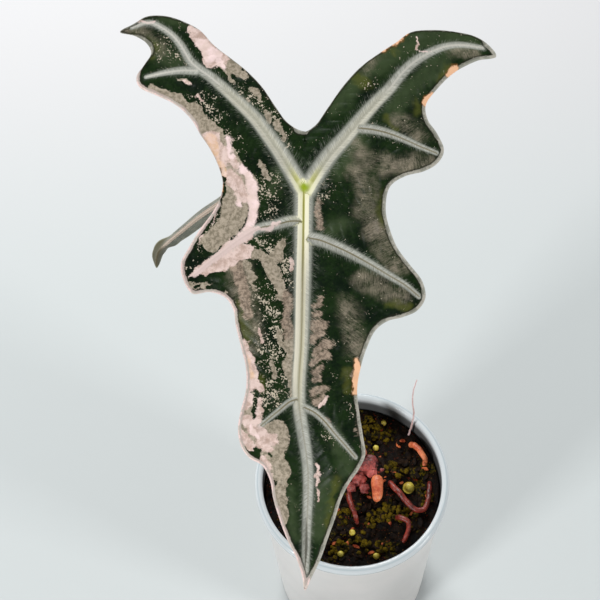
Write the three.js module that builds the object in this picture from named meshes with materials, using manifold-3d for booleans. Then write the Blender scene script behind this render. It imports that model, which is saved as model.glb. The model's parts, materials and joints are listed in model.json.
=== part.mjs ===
// A potted variegated arrow-leaved aroid in a clear plastic cup.
// Millimetres, +Z up. The origin is the centre of the cup's foot, where it
// stands on the table. The plant's best face looks towards -Y and up.

import * as THREE from 'three';
import { mergeVertices } from 'three/addons/utils/BufferGeometryUtils.js';
import Module from 'manifold-3d';

const wasm = await Module();
wasm.setup();

// Cup.
const CUP_HEIGHT = 130;
const LIP_RADIUS = 47.5;
const LIP_HEIGHT = 5;
const MOUTH_RADIUS = 43.8;
const WALL = 1.2;
const WALL_TOP_RADIUS = 45.2;
const FOOT_RADIUS = 40;
const FOOT_DISC_RADIUS = 12;
const FOOT_CHANNEL = 2.2;
const DRAIN_RADIUS = 3.5;
const DRAIN_RING = 23;
const DRAIN_COUNT = 6;

// Substrate.
const SOIL_TOP = CUP_HEIGHT - 11;
const SOIL_BOTTOM = FOOT_CHANNEL + WALL + 0.4;
const SOIL_LUMP = 2.2;
const GAP = 0.35;

// Large blade: where its stalk meets it, how it leans and how thick it is.
const BLADE_AT = new THREE.Vector3(-15.5, 53.3, CUP_HEIGHT + 172.8);
const BLADE_TILT = 30;
const BLADE_TURN = -3.6;
const BLADE_THICKNESS = 0.8;
const BLADE_MESH = 6;
const MIDRIB_HEIGHT = 2.6;
const MIDRIB_WIDTH = 3.4;

// Small blade behind it, folded most of the way along its midrib towards the tip.
const SMALL_FOLD = 75;
const SMALL_FOLD_AT_STALK = 22;
const SMALL_FOLD_AT_TIP = 68;
const SMALL_THICKNESS = 0.7;
const SMALL_MESH = 6;

const rad = THREE.MathUtils.degToRad;
const smooth = THREE.MathUtils.smoothstep;

// A repeatable stream of numbers between 0 and 1.
function seeded(seed) {
  let state = seed;
  return () => {
    state = (state * 16807) % 2147483647;
    return state / 2147483647;
  };
}

// Slow unevenness, between about -1 and 1, for anything that grew or was poured.
function uneven(x, y, pitch) {
  const u = x / pitch;
  const v = y / pitch;
  return (Math.sin(u * 6.1 + 1.7 * Math.sin(v * 4.3)) + Math.sin(v * 5.3 + 2.1 * Math.sin(u * 3.7 + 1))) / 2;
}

// Closed solids from three.js geometry.

// Joins the vertices of a closed geometry, drops empty triangles and faces it outwards.
function closed(geometry) {
  geometry.deleteAttribute('normal');
  if (geometry.attributes.uv) geometry.deleteAttribute('uv');
  const merged = mergeVertices(geometry, 1e-3);
  const index = merged.index.array;
  const at = (k) => new THREE.Vector3().fromBufferAttribute(merged.attributes.position, k);
  const kept = [];
  let volume = 0;
  for (let i = 0; i < index.length; i += 3) {
    const [a, b, c] = [index[i], index[i + 1], index[i + 2]];
    if (a === b || b === c || c === a) continue;
    kept.push(a, b, c);
    volume += at(a).dot(at(b).cross(at(c)));
  }
  if (volume < 0) for (let i = 0; i < kept.length; i += 3) [kept[i], kept[i + 1]] = [kept[i + 1], kept[i]];
  merged.setIndex(kept);
  return merged;
}

function toSolid(geometry) {
  const merged = geometry.index && !geometry.attributes.normal ? geometry : closed(geometry);
  return new wasm.Manifold(new wasm.Mesh({
    numProp: 3,
    vertProperties: new Float32Array(merged.attributes.position.array),
    triVerts: new Uint32Array(merged.index.array),
  }));
}

function toGeometry(solid) {
  const mesh = solid.getMesh();
  const geometry = new THREE.BufferGeometry();
  const places = new Float32Array(mesh.numVert * 3);
  for (let i = 0; i < mesh.numVert; i++) {
    for (let k = 0; k < 3; k++) places[3 * i + k] = mesh.vertProperties[mesh.numProp * i + k];
  }
  geometry.setAttribute('position', new THREE.BufferAttribute(places, 3));
  geometry.setIndex(Array.from(mesh.triVerts));
  return geometry;
}

// A turned body about the Z axis from a profile of [radius, height] points.
function turned(profile, sides) {
  const points = profile.map(([r, z]) => new THREE.Vector2(r, z));
  const geometry = new THREE.LatheGeometry(points, sides);
  geometry.rotateX(Math.PI / 2);
  return closed(geometry);
}

// A round rod along a curve whose radius changes from end to end: a straight
// extrusion of a circle, each of its rings moved onto the curve and scaled.
function rod(curve, radiusAt, sides, steps) {
  const circle = new THREE.Shape();
  for (let i = 0; i < sides; i++) {
    const a = (i / sides) * 2 * Math.PI;
    if (i === 0) circle.moveTo(1, 0);
    else circle.lineTo(Math.cos(a), Math.sin(a));
  }
  const geometry = new THREE.ExtrudeGeometry(circle, { depth: 1, steps, bevelEnabled: false });
  const frames = curve.computeFrenetFrames(steps, false);
  const place = geometry.attributes.position;
  for (let i = 0; i < place.count; i++) {
    const ring = Math.round(place.getZ(i) * steps);
    const r = radiusAt(ring / steps);
    const p = curve.getPointAt(ring / steps)
      .addScaledVector(frames.normals[ring], place.getX(i) * r)
      .addScaledVector(frames.binormals[ring], place.getY(i) * r);
    place.setXYZ(i, p.x, p.y, p.z);
  }
  return closed(geometry);
}

function curveThrough(points) {
  return new THREE.CatmullRomCurve3(points.map((p) => new THREE.Vector3(...p)), false, 'centripetal');
}

function pieceOf(name, geometry, colour, roughness, extra = {}) {
  const material = new THREE.MeshStandardMaterial({ color: colour, roughness, metalness: 0, ...extra });
  const mesh = new THREE.Mesh(geometry, material);
  mesh.name = name;
  return mesh;
}

// Leaf blades.

// Delaunay triangles of a set of plane points, by adding one point at a time.
function triangulate(points) {
  const far = 1e4;
  const all = [...points, new THREE.Vector2(-far, -far), new THREE.Vector2(far, -far), new THREE.Vector2(0, far)];
  const n = points.length;
  const circle = (a, b, c) => {
    const [p, q, r] = [all[a], all[b], all[c]];
    const d = 2 * (p.x * (q.y - r.y) + q.x * (r.y - p.y) + r.x * (p.y - q.y));
    const [pp, qq, rr] = [p.lengthSq(), q.lengthSq(), r.lengthSq()];
    const x = (pp * (q.y - r.y) + qq * (r.y - p.y) + rr * (p.y - q.y)) / d;
    const y = (pp * (r.x - q.x) + qq * (p.x - r.x) + rr * (q.x - p.x)) / d;
    return { v: [a, b, c], x, y, rr: (p.x - x) ** 2 + (p.y - y) ** 2 };
  };
  let triangles = [circle(n, n + 1, n + 2)];
  for (let i = 0; i < n; i++) {
    const p = all[i];
    const rim = new Map();
    triangles = triangles.filter((t) => {
      if ((p.x - t.x) ** 2 + (p.y - t.y) ** 2 >= t.rr) return true;
      for (let k = 0; k < 3; k++) {
        const [a, b] = [t.v[k], t.v[(k + 1) % 3]];
        if (rim.has(`${b},${a}`)) rim.delete(`${b},${a}`);
        else rim.set(`${a},${b}`, [a, b]);
      }
      return false;
    });
    for (const [a, b] of rim.values()) triangles.push(circle(a, b, i));
  }
  return triangles.map((t) => t.v).filter((v) => v.every((k) => k < n));
}

function inside(p, loop) {
  let odd = false;
  for (let i = 0, j = loop.length - 1; i < loop.length; j = i++) {
    const [a, b] = [loop[i], loop[j]];
    if (a.y > p.y !== b.y > p.y && p.x < ((b.x - a.x) * (p.y - a.y)) / (b.y - a.y) + a.x) odd = !odd;
  }
  return odd;
}

function nearest(p, points) {
  let best = Infinity;
  let at = 0;
  points.forEach((q, i) => {
    const d = p.distanceTo(q);
    if (d < best) [best, at] = [d, i];
  });
  return { distance: best, share: at / (points.length - 1) };
}

// The margin as a smooth closed loop through its points, in steps of about one mesh size.
function marginLoop(points, step) {
  const curve = new THREE.CatmullRomCurve3(points.map(([x, y]) => new THREE.Vector3(x, y, 0)), true, 'centripetal');
  const loop = [];
  points.forEach(([x, y], i) => {
    const [nx, ny] = points[(i + 1) % points.length];
    const parts = Math.max(1, Math.round(Math.hypot(nx - x, ny - y) / step));
    for (let k = 0; k < parts; k++) {
      const p = curve.getPoint((i + k / parts) / points.length);
      loop.push(new THREE.Vector2(p.x, p.y));
    }
  });
  return loop;
}

// A vein as a plane curve with a width and a height at each end.
function vein(points, width, height) {
  const curve = new THREE.SplineCurve(points.map(([x, y]) => new THREE.Vector2(x, y)));
  return { curve, line: curve.getSpacedPoints(60), width, height };
}

// How high the veins stand under the blade at a point.
function ribAt(p, veins) {
  let height = 0;
  for (const v of veins) {
    const { distance, share } = nearest(p, v.line);
    const width = THREE.MathUtils.lerp(v.width[0], v.width[1], share);
    const top = THREE.MathUtils.lerp(v.height[0], v.height[1], share);
    height = Math.max(height, top * Math.max(0, 1 - (distance / width) ** 2));
  }
  return height;
}

// A closed blade. One set of triangles serves both faces, and place(p) carries
// a point of the flat outline to its place on the upper face.
function blade({ margin, veins, mesh, thickness, place }) {
  const random = seeded(71);
  const loop = marginLoop(margin, mesh * 0.75);
  const points = [...loop];
  const tryPoint = (p, room) => {
    if (!inside(p, loop)) return;
    if (nearest(p, loop).distance < mesh * 0.55) return;
    if (nearest(p, points).distance < room) return;
    points.push(p);
  };
  for (const v of veins) {
    const count = Math.round(v.curve.getLength() / (mesh * 0.9));
    for (let i = 0; i <= count; i++) tryPoint(v.curve.getPointAt(i / count), mesh * 0.4);
  }
  for (const v of veins) {
    const count = Math.round(v.curve.getLength() / (mesh * 0.9));
    for (let i = 0; i <= count; i++) {
      const p = v.curve.getPointAt(i / count);
      const along = v.curve.getTangentAt(i / count);
      const width = THREE.MathUtils.lerp(v.width[0], v.width[1], i / count);
      for (const side of [-1, 1]) {
        tryPoint(new THREE.Vector2(p.x - along.y * width * side, p.y + along.x * width * side), mesh * 0.42);
      }
    }
  }
  const box = new THREE.Box2().setFromPoints(loop);
  let row = 0;
  for (let y = box.min.y; y < box.max.y; y += mesh * 0.866) {
    for (let x = box.min.x + (row % 2) * mesh * 0.5; x < box.max.x; x += mesh) {
      tryPoint(new THREE.Vector2(x + (random() - 0.5) * 0.4, y + (random() - 0.5) * 0.4), mesh * 0.7);
    }
    row++;
  }

  const triangles = triangulate(points).filter((t) => {
    const middle = points[t[0]].clone().add(points[t[1]]).add(points[t[2]]).divideScalar(3);
    return inside(middle, loop);
  });

  const upper = points.map((p) => place(p));
  const lower = points.map((p, i) => {
    const e = 0.05;
    const across = place(new THREE.Vector2(p.x + e, p.y)).sub(place(new THREE.Vector2(p.x - e, p.y)));
    const along = place(new THREE.Vector2(p.x, p.y + e)).sub(place(new THREE.Vector2(p.x, p.y - e)));
    const normal = across.cross(along).normalize();
    return upper[i].clone().addScaledVector(normal, -(thickness + ribAt(p, veins)));
  });

  const n = points.length;
  const index = [];
  for (const [a, b, c] of triangles) {
    const area = (points[b].x - points[a].x) * (points[c].y - points[a].y)
      - (points[c].x - points[a].x) * (points[b].y - points[a].y);
    const [p, q, r] = area > 0 ? [a, b, c] : [a, c, b];
    index.push(p, q, r, n + r, n + q, n + p);
  }
  // The margin: each edge used by one triangle only gets a wall between the faces.
  const once = new Map();
  for (let i = 0; i < index.length; i += 6) {
    for (const [a, b] of [[0, 1], [1, 2], [2, 0]]) {
      const [s, t] = [index[i + a], index[i + b]];
      if (once.has(`${t},${s}`)) once.delete(`${t},${s}`);
      else once.set(`${s},${t}`, [s, t]);
    }
  }
  if (once.size !== loop.length) console.log(`blade margin has ${once.size} edges for ${loop.length} points`);
  for (const [s, t] of once.values()) index.push(t, s, n + s, t, n + s, n + t);

  const geometry = new THREE.BufferGeometry();
  geometry.setAttribute('position', new THREE.Float32BufferAttribute([...upper, ...lower].flatMap((p) => p.toArray()), 3));
  geometry.setIndex(index);
  return closed(geometry);
}

// Large blade, flat outline: x to the right, y towards the horns, 0,0 where the stalk joins.
const sinus = [[0, 23.6]];
const leftHorn = [
  [-6.4, 26.8], [-11.2, 33.2], [-16.8, 41.6], [-22.8, 48], [-29.2, 53.2], [-36.4, 58.8], [-41.6, 64.4],
  [-48, 68], [-55.2, 70.4], [-63.2, 70.4], [-68, 67.8], [-74, 64],
  [-68.4, 62.6], [-63.2, 59.2], [-61.4, 55.4], [-64, 50.8], [-67.2, 45.6], [-66, 41.6],
  [-59.2, 38], [-51.2, 34], [-45.2, 28.4], [-41.2, 22], [-37.2, 16], [-34, 9.2], [-32.4, 2.8],
];
const leftSide = [
  [-33.2, -2.4], [-36.4, -8.8], [-41.6, -16], [-46, -23.6], [-48.8, -29.2], [-48.2, -35.2], [-44.4, -41.4],
  [-37.6, -40.8], [-31.6, -42.8], [-28.4, -47.2], [-27.2, -54.4], [-25.2, -62.8], [-23.2, -71.2],
  [-23.2, -80], [-25.2, -88], [-26.4, -96], [-25.2, -102.5], [-22, -107.4], [-16.8, -110.6],
  [-13.6, -117], [-12.4, -124], [-10, -132], [-6.8, -140.5], [-3, -148.5], [-0.8, -155.5],
];
const tip = [[0.4, -162]];
const rightSide = [
  [3.2, -156.5], [6.8, -149], [9.6, -141], [12.8, -132], [15.2, -124], [18.4, -117.4], [22.4, -111.4],
  [24.6, -106], [23.6, -98], [22.4, -90], [21.4, -80], [22.8, -70.8], [25, -63.4], [28.4, -56.2],
  [33.2, -52.4], [39.2, -50.8], [45, -48.2], [48.4, -43], [47.2, -36.4], [42.4, -30], [37.2, -22.8],
  [34.4, -16], [32.6, -7.6], [34.2, 1],
];
const rightHorn = [
  [40, 5.2], [47.6, 7.2], [53.4, 10.8], [55.8, 15.8], [53.2, 22.4], [49.6, 28], [48.8, 34], [53.6, 40.8],
  [60.4, 47.2], [69.6, 52], [77, 53.6],
  [74.4, 58], [69.2, 61.6], [61.6, 63.6], [52, 64.4], [43.2, 63.6], [36.8, 59.2], [28.8, 54], [22, 48.8],
  [15.2, 41.2], [9.6, 33.2], [4.4, 26],
];
const bigMargin = [...sinus, ...leftHorn, ...leftSide, ...tip, ...rightSide, ...rightHorn];

const bigVeins = [
  vein([[0, 0], [-0.4, -28], [-1, -60], [-2, -84], [1.6, -112], [1.2, -136], [0.4, -156]],
    [MIDRIB_WIDTH, 1.2], [MIDRIB_HEIGHT, 0.4]),
  vein([[-0.4, 0], [-9.6, 15.2], [-19.6, 28.8], [-31.6, 40.4], [-41.6, 48.4], [-49.2, 58], [-57.6, 66], [-68, 67]],
    [3.2, 1.4], [2.2, 0.4]),
  vein([[1.2, 0], [10.4, 14], [22.4, 28], [34.4, 40.8], [44.4, 51.6], [56.4, 57.6], [70, 58]],
    [3.2, 1.4], [2.2, 0.4]),
  vein([[-0.8, -12.4], [-17.6, -15.2], [-31.6, -24.4], [-43.6, -34]], [2.2, 1.3], [1.2, 0.4]),
  vein([[2.4, -19.2], [18.4, -25.2], [34.4, -34.4], [45.6, -42.4]], [2.2, 1.3], [1.2, 0.4]),
  vein([[-2, -83.6], [-9.6, -88], [-16.8, -94]], [1.8, 1.2], [0.9, 0.3]),
  vein([[0.4, -87.2], [8.4, -92.8], [20.4, -106.8]], [1.8, 1.2], [0.9, 0.3]),
  vein([[-43.6, 48], [-55.2, 47.2], [-62.8, 46]], [1.6, 1.2], [0.8, 0.3]),
  vein([[23.2, 24.8], [34.4, 22.4], [52, 15.2]], [1.8, 1.2], [0.9, 0.3]),
];
const bigLoop = marginLoop(bigMargin, 2);

// How high the large blade's upper face stands over its flat outline: halves lifted
// from the midrib, swelling between the veins, tip and horns bent down, margin curled.
function bigRelief(p) {
  const across = Math.abs(p.x);
  const lift = 0.09 * across - 0.0006 * across ** 2;
  const arch = p.y < 0 ? -9 * (-p.y / 160) ** 2.2 : -7 * (p.y / 70) ** 2;
  const toVein = Math.min(...bigVeins.map((v) => nearest(p, v.line).distance));
  const toMargin = nearest(p, bigLoop).distance;
  const swell = 1.3 * smooth(toVein, 0, 10);
  const curl = -1.6 * (1 - smooth(toMargin, 0, 9));
  const wave = 1.5 * Math.sin(p.y / 9 + Math.sign(p.x)) * (1 - smooth(toMargin, 0, 20));
  return lift + arch + swell + curl + wave;
}

const bigBlade = new THREE.Group();
bigBlade.position.copy(BLADE_AT);
bigBlade.rotation.set(rad(BLADE_TILT), 0, rad(BLADE_TURN), 'XYZ');
bigBlade.add(pieceOf('leaf_blade_large', blade({
  margin: bigMargin, veins: bigVeins, mesh: BLADE_MESH, thickness: BLADE_THICKNESS,
  place: (p) => new THREE.Vector3(p.x, p.y, bigRelief(p)),
}), 0x2c3d24, 0.42));

// Small blade, flat outline like the large one's, without lobes.
const smallHalf = [
  [5, -63], [7.6, -59], [9, -50], [11.5, -39], [13, -26], [14, -12], [15, 0], [14.6, 9], [12, 18],
  [8, 26], [5, 29], [3.6, 24], [2.6, 15],
];
const smallMargin = [
  [0, -64.5], ...smallHalf, [0, 7], ...smallHalf.slice().reverse().map(([x, y]) => [-x, y]),
];
const smallVeins = [vein([[0, 4], [0, -30], [0, -60]], [1.6, 1.2], [1.4, 0.4])];

// Its midrib runs left and a little down, and its last stretch hangs.
const smallSpine = curveThrough([
  [-16, 88, 276.6], [-32.9, 86.2, 267.5], [-55.9, 80.5, 253.8], [-63.2, 79.6, 247.5], [-71.1, 78, 240.3],
  [-78.1, 76.6, 233.7], [-82.4, 76.1, 228.2], [-84.3, 75, 222.4], [-84.8, 73.8, 216.5],
]);
const smallFacing = new THREE.Vector3(0, -Math.sin(rad(BLADE_TILT)), Math.cos(rad(BLADE_TILT)));
const SMALL_REACH = 31;

function placeSmall(p) {
  const length = smallSpine.getLength();
  const share = THREE.MathUtils.clamp((SMALL_REACH - p.y) / length, 0, 1);
  const along = smallSpine.getTangentAt(share);
  const up = smallFacing.clone().addScaledVector(along, -smallFacing.dot(along)).normalize();
  const sideways = up.clone().cross(along).normalize();
  const across = Math.hypot(p.x, 1.2) - 1.2;
  const open = THREE.MathUtils.lerp(SMALL_FOLD, SMALL_FOLD_AT_STALK, smooth(p.y, -9, 1));
  const fold = rad(THREE.MathUtils.lerp(open, SMALL_FOLD_AT_TIP, smooth(-p.y, 44, 60)));
  return smallSpine.getPointAt(share)
    .addScaledVector(sideways, p.x * Math.cos(fold))
    .addScaledVector(up, -across * Math.sin(fold));
}

const smallBlade = pieceOf('leaf_blade_small', blade({
  margin: smallMargin, veins: smallVeins, mesh: SMALL_MESH, thickness: SMALL_THICKNESS, place: placeSmall,
}), 0x46523c, 0.45);

// Stalks.

// The large stalk rises from the crown to the back of the large blade, with a
// broad sheath at its foot; the small one stands behind it.
const bigTop = new THREE.Vector3(0, 0, -(BLADE_THICKNESS + MIDRIB_HEIGHT + 1.6))
  .applyEuler(bigBlade.rotation).add(BLADE_AT);
const smallTop = placeSmall(new THREE.Vector2(0, 2)).addScaledVector(smallFacing, -4.2);
const STALK_FOOT = SOIL_TOP + 1;

// A stalk, or with some room added the socket that it stands in.
function bigStalk(room) {
  return rod(
    curveThrough([[1, 12, STALK_FOOT - room], [-4, 17, 160], [-11, 28, 215], [-15.5, 42, 265], bigTop.toArray()]),
    (t) => room + 2.7 + 1.9 * Math.max(0, 1 - t / 0.16) ** 1.3 - 0.5 * smooth(t, 0.5, 1), 12, 22,
  );
}

function smallStalk(room) {
  return rod(
    curveThrough([[6.4, 17.6, STALK_FOOT - room], [-1, 27, 150], [-9, 44, 193], [-21, 66, 232], smallTop.toArray()]),
    (t) => room + 1.7 + 0.9 * Math.max(0, 1 - t / 0.14) ** 1.3 - 0.5 * smooth(t, 0.4, 1), 10, 18,
  );
}

// Crown, and roots at the surface.

function lump(x, y, z, rx, ry, rz, detail, seed) {
  const random = seeded(seed);
  const turn = new THREE.Matrix4().makeRotationFromEuler(new THREE.Euler(0, 0, random() * 6));
  const geometry = closed(new THREE.IcosahedronGeometry(1, detail));
  const place = geometry.attributes.position;
  for (let i = 0; i < place.count; i++) {
    const p = new THREE.Vector3().fromBufferAttribute(place, i);
    p.multiplyScalar(1 + 0.16 * uneven(p.x + seed, p.y - p.z, 3)).applyMatrix4(turn);
    place.setXYZ(i, x + p.x * rx, y + p.y * ry, z + p.z * rz);
  }
  return geometry;
}

const CROWN = { x: 7, y: 11, z: SOIL_TOP - 1.5, rx: 8, ry: 6.2, rz: 5.6 };
const crownWith = (room) => lump(CROWN.x, CROWN.y, CROWN.z, CROWN.rx + room, CROWN.ry + room, CROWN.rz + room, 2, 9);

const LEVEL = SOIL_TOP + 2;
const roots = {
  root_stub: { path: [[12.5, 3.6, LEVEL + 1], [12.4, -3, LEVEL + 2], [11.6, -9.6, LEVEL + 1]], radius: 3.1, blunt: true },
  root_right: {
    path: [[18.6, 2.4, LEVEL - 2], [21, -3, LEVEL + 1.2], [25.3, -9.4, LEVEL + 1.6], [30, -14.6, LEVEL + 1.2],
      [34.2, -14.6, LEVEL + 1], [37, -9, LEVEL + 1], [38.2, -2, LEVEL - 1], [38.4, 2, LEVEL - 5]], radius: 1.5,
  },
  root_front: {
    path: [[19.6, -16.4, LEVEL - 4], [22.4, -18.4, LEVEL + 0.8], [26, -21.4, LEVEL + 1.2], [24.6, -27, LEVEL + 0.6],
      [22.4, -30.6, LEVEL - 4]], radius: 1.4,
  },
  root_left: { path: [[-1.6, -1, LEVEL - 3], [-1.8, -8, LEVEL + 1], [0.4, -15.4, LEVEL + 0.8], [1.6, -19.4, LEVEL - 4]], radius: 1.4 },
  root_wall: { path: [[31, 22, LEVEL - 3], [34, 17.6, LEVEL + 1.2], [37, 12.4, LEVEL + 1], [37.4, 9, LEVEL - 4]], radius: 1.6 },
};
const rootRod = ({ path, radius, blunt }, room) => rod(
  curveThrough(path),
  (t) => room + radius * (blunt ? Math.sqrt(Math.max(0.12, 1 - (2 * t - 1) ** 8)) : 1 - 0.25 * t),
  8, blunt ? 10 : 4 * path.length,
);

// A stray thread of root that stands up by the wall and past the rim.
const threadPath = curveThrough([[30.2, 27, SOIL_TOP - 6], [30.8, 27.6, SOIL_TOP + 8], [30.4, 27.4, SOIL_TOP + 22],
  [33, 29, SOIL_TOP + 38]]);
const threadRod = (room) => rod(threadPath, () => 0.6 + room, 6, 12);

// The cup's solid.

const innerTop = WALL_TOP_RADIUS - WALL;
const cupProfile = [
  [0, 0], [FOOT_DISC_RADIUS, 0], [FOOT_DISC_RADIUS + 1.6, FOOT_CHANNEL], [FOOT_RADIUS - 8, FOOT_CHANNEL],
  [FOOT_RADIUS - 6.4, 0], [FOOT_RADIUS - 1, 0], [FOOT_RADIUS, 1],
  [WALL_TOP_RADIUS, CUP_HEIGHT - LIP_HEIGHT - 0.4],
  [LIP_RADIUS - 0.8, CUP_HEIGHT - LIP_HEIGHT + 0.1], [LIP_RADIUS, CUP_HEIGHT - LIP_HEIGHT + 1.1],
  [LIP_RADIUS, CUP_HEIGHT - 1.7], [LIP_RADIUS - 0.7, CUP_HEIGHT - 0.5], [LIP_RADIUS - 1.9, CUP_HEIGHT],
  [MOUTH_RADIUS + 0.7, CUP_HEIGHT - 0.3], [MOUTH_RADIUS, CUP_HEIGHT - 1.4],
  [innerTop - 0.1, CUP_HEIGHT - LIP_HEIGHT - 0.4],
  [FOOT_RADIUS - WALL - 0.1, FOOT_CHANNEL + 0.2], [FOOT_RADIUS - WALL - 1, WALL],
  [FOOT_RADIUS - 6, WALL], [FOOT_RADIUS - 7.4, FOOT_CHANNEL + WALL],
  [FOOT_DISC_RADIUS + 1, FOOT_CHANNEL + WALL], [FOOT_DISC_RADIUS - 0.6, WALL], [0, WALL],
];
let cup = toSolid(turned(cupProfile, 48));
for (let i = 0; i < DRAIN_COUNT; i++) {
  const a = ((i + 0.5) / DRAIN_COUNT) * 2 * Math.PI;
  const drain = new THREE.CylinderGeometry(DRAIN_RADIUS, DRAIN_RADIUS, 12, 12);
  drain.rotateX(Math.PI / 2);
  drain.translate(DRAIN_RING * Math.cos(a), DRAIN_RING * Math.sin(a), FOOT_CHANNEL + WALL / 2);
  cup = cup.subtract(toSolid(drain));
}

// The substrate's solid.

// The wall's inner radius at a height, less the gap.
function soilRadius(z) {
  const share = (z - FOOT_CHANNEL) / (CUP_HEIGHT - LIP_HEIGHT - 0.4 - FOOT_CHANNEL);
  return THREE.MathUtils.lerp(FOOT_RADIUS - WALL - 0.1, innerTop - 0.1, share) - GAP - 0.15;
}

const soilEdge = soilRadius(SOIL_TOP);

// The top's height, level all round where it meets the wall.
function soilTopAt(x, y) {
  const lumps = SOIL_LUMP * uneven(x, y, 21) + 0.8 * uneven(y + 7, x - 3, 9) + 0.02 * x;
  return SOIL_TOP + lumps * (1 - Math.min(1, Math.hypot(x, y) / soilEdge) ** 6);
}

const RINGS = 8;
const soilProfile = [[0, SOIL_BOTTOM], [soilRadius(SOIL_BOTTOM), SOIL_BOTTOM], [soilEdge, SOIL_TOP]];
for (let i = 1; i <= RINGS; i++) soilProfile.push([soilEdge * (1 - i / RINGS), SOIL_TOP]);
const soilBase = turned(soilProfile, 40);
const soilPlace = soilBase.attributes.position;
for (let i = 0; i < soilPlace.count; i++) {
  if (soilPlace.getZ(i) < SOIL_TOP - 0.1) continue;
  soilPlace.setZ(i, soilTopAt(soilPlace.getX(i), soilPlace.getY(i)));
}
let soil = toSolid(soilBase);

// Bark, moss tufts and granules, one piece with what they lie on.
const bits = [
  { x: 12, y: 31, r: 7, flat: 0.5 }, { x: 22, y: 27, r: 5.5, flat: 0.5 }, { x: 19, y: -12.4, r: 4, flat: 0.6 },
  { x: 6, y: -28, r: 5, flat: 0.5 }, { x: -6, y: -26, r: 5.5, flat: 0.5 }, { x: 14, y: -34, r: 4.6, flat: 0.5 },
  { x: -20, y: -18, r: 7, flat: 0.45 }, { x: -28, y: 4, r: 7.5, flat: 0.45 }, { x: -14, y: 24, r: 7, flat: 0.45 },
  { x: 29, y: 6, r: 5, flat: 0.5 }, { x: -33, y: -16, r: 4.5, flat: 0.5 }, { x: -9, y: 36, r: 4, flat: 0.5 },
  { x: 28, y: -1.7, r: 3, flat: 0.95 }, { x: 13.5, y: 20.5, r: 1.7, flat: 1 }, { x: 18.5, y: 33.5, r: 1.7, flat: 1 },
  { x: -1.6, y: -24, r: 1.8, flat: 1 }, { x: -8, y: -34, r: 1.7, flat: 1 }, { x: 9, y: -36.5, r: 1.7, flat: 1 },
];
bits.forEach(({ x, y, r, flat }, i) => {
  const z = soilTopAt(x, y) + (flat > 0.9 ? r * 0.4 : 0);
  soil = soil.add(toSolid(lump(x, y, z, r, r * 0.8, r * flat, r > 2 ? 1 : 0, 11 + i)));
});

const stood = [crownWith(GAP), bigStalk(GAP), smallStalk(GAP), threadRod(GAP)];
for (const root of Object.values(roots)) stood.push(rootRod(root, GAP));
for (const hole of stood) soil = soil.subtract(toSolid(hole));

// The stalks and the stub stand in sockets of the crown.
const crown = [bigStalk(GAP), smallStalk(GAP), rootRod(roots.root_stub, GAP)]
  .reduce((solid, socket) => solid.subtract(toSolid(socket)), toSolid(crownWith(0)));

// The whole, in its own frame.

const plant = new THREE.Group();
plant.add(
  pieceOf('cup', toGeometry(cup), 0xc9cccb, 0.35, { transparent: true, opacity: 0.55 }),
  pieceOf('substrate', toGeometry(soil), 0x1d1a12, 0.95),
  pieceOf('crown', toGeometry(crown), 0x9c5048, 0.6),
  pieceOf('stalk_large', bigStalk(0), 0x6f7d4b, 0.5),
  pieceOf('stalk_small', smallStalk(0), 0x77834f, 0.5),
  bigBlade,
  smallBlade,
);
for (const [name, root] of Object.entries(roots)) {
  plant.add(pieceOf(name, rootRod(root, 0), name === 'root_stub' ? 0xd98a68 : 0x9a4a34, 0.55));
}
plant.add(pieceOf('root_thread', threadRod(0), 0xc89a8a, 0.6));

export default plant;
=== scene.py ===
# %% [markdown]
# # A variegated arrow-leaved aroid in a milky cup
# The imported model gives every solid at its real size. This notebook dresses it: the large
# half-pink blade, the small folded one behind it, the stalks, the crown with its roots, the
# moist substrate and the milky cup. Lengths are written in millimetres and turned to metres
# when a mesh is made.

# %% Load the frame
import json
import math
import random

import bpy
import numpy as np
from mathutils import Matrix, Vector, noise
from mathutils.geometry import delaunay_2d_cdt

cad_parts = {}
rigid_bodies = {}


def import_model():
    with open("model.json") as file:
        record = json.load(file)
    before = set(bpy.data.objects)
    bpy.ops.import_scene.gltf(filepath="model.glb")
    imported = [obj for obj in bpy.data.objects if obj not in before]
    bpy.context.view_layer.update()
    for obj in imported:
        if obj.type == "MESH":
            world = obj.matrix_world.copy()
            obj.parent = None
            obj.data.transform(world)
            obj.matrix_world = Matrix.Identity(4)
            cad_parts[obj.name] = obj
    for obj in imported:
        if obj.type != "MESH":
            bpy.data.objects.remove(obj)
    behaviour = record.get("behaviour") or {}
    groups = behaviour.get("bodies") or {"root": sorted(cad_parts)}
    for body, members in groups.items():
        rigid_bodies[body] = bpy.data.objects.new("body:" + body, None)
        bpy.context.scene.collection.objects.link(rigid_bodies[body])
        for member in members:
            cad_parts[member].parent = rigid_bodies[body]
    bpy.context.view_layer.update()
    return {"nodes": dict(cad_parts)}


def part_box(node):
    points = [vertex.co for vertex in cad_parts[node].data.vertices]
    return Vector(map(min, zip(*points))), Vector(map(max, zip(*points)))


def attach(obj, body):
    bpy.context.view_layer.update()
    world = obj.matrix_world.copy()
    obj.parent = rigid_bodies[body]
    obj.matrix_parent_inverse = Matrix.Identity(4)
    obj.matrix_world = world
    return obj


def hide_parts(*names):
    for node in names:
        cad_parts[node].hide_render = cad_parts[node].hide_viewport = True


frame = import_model()
MM = 0.001
print("nodes:", ", ".join(sorted(frame["nodes"])))

# %% [markdown]
# ## Camera
# The photograph looks down on the plant from in front, at about 60 degrees, with a long lens,
# and is turned a few degrees. The camera's tilt from straight down is 30 degrees, which is
# also the lean of the large blade, so the blade is seen square on.

# %% Camera
LOOK_TILT = 30
LOOK_ROLL = -3.6
LENS_TO_PIXELS = 1400
PICTURE = 600
SENSOR = 36
CAMERA_AT = Vector((-19.8, -264.6, 765.9))

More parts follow.
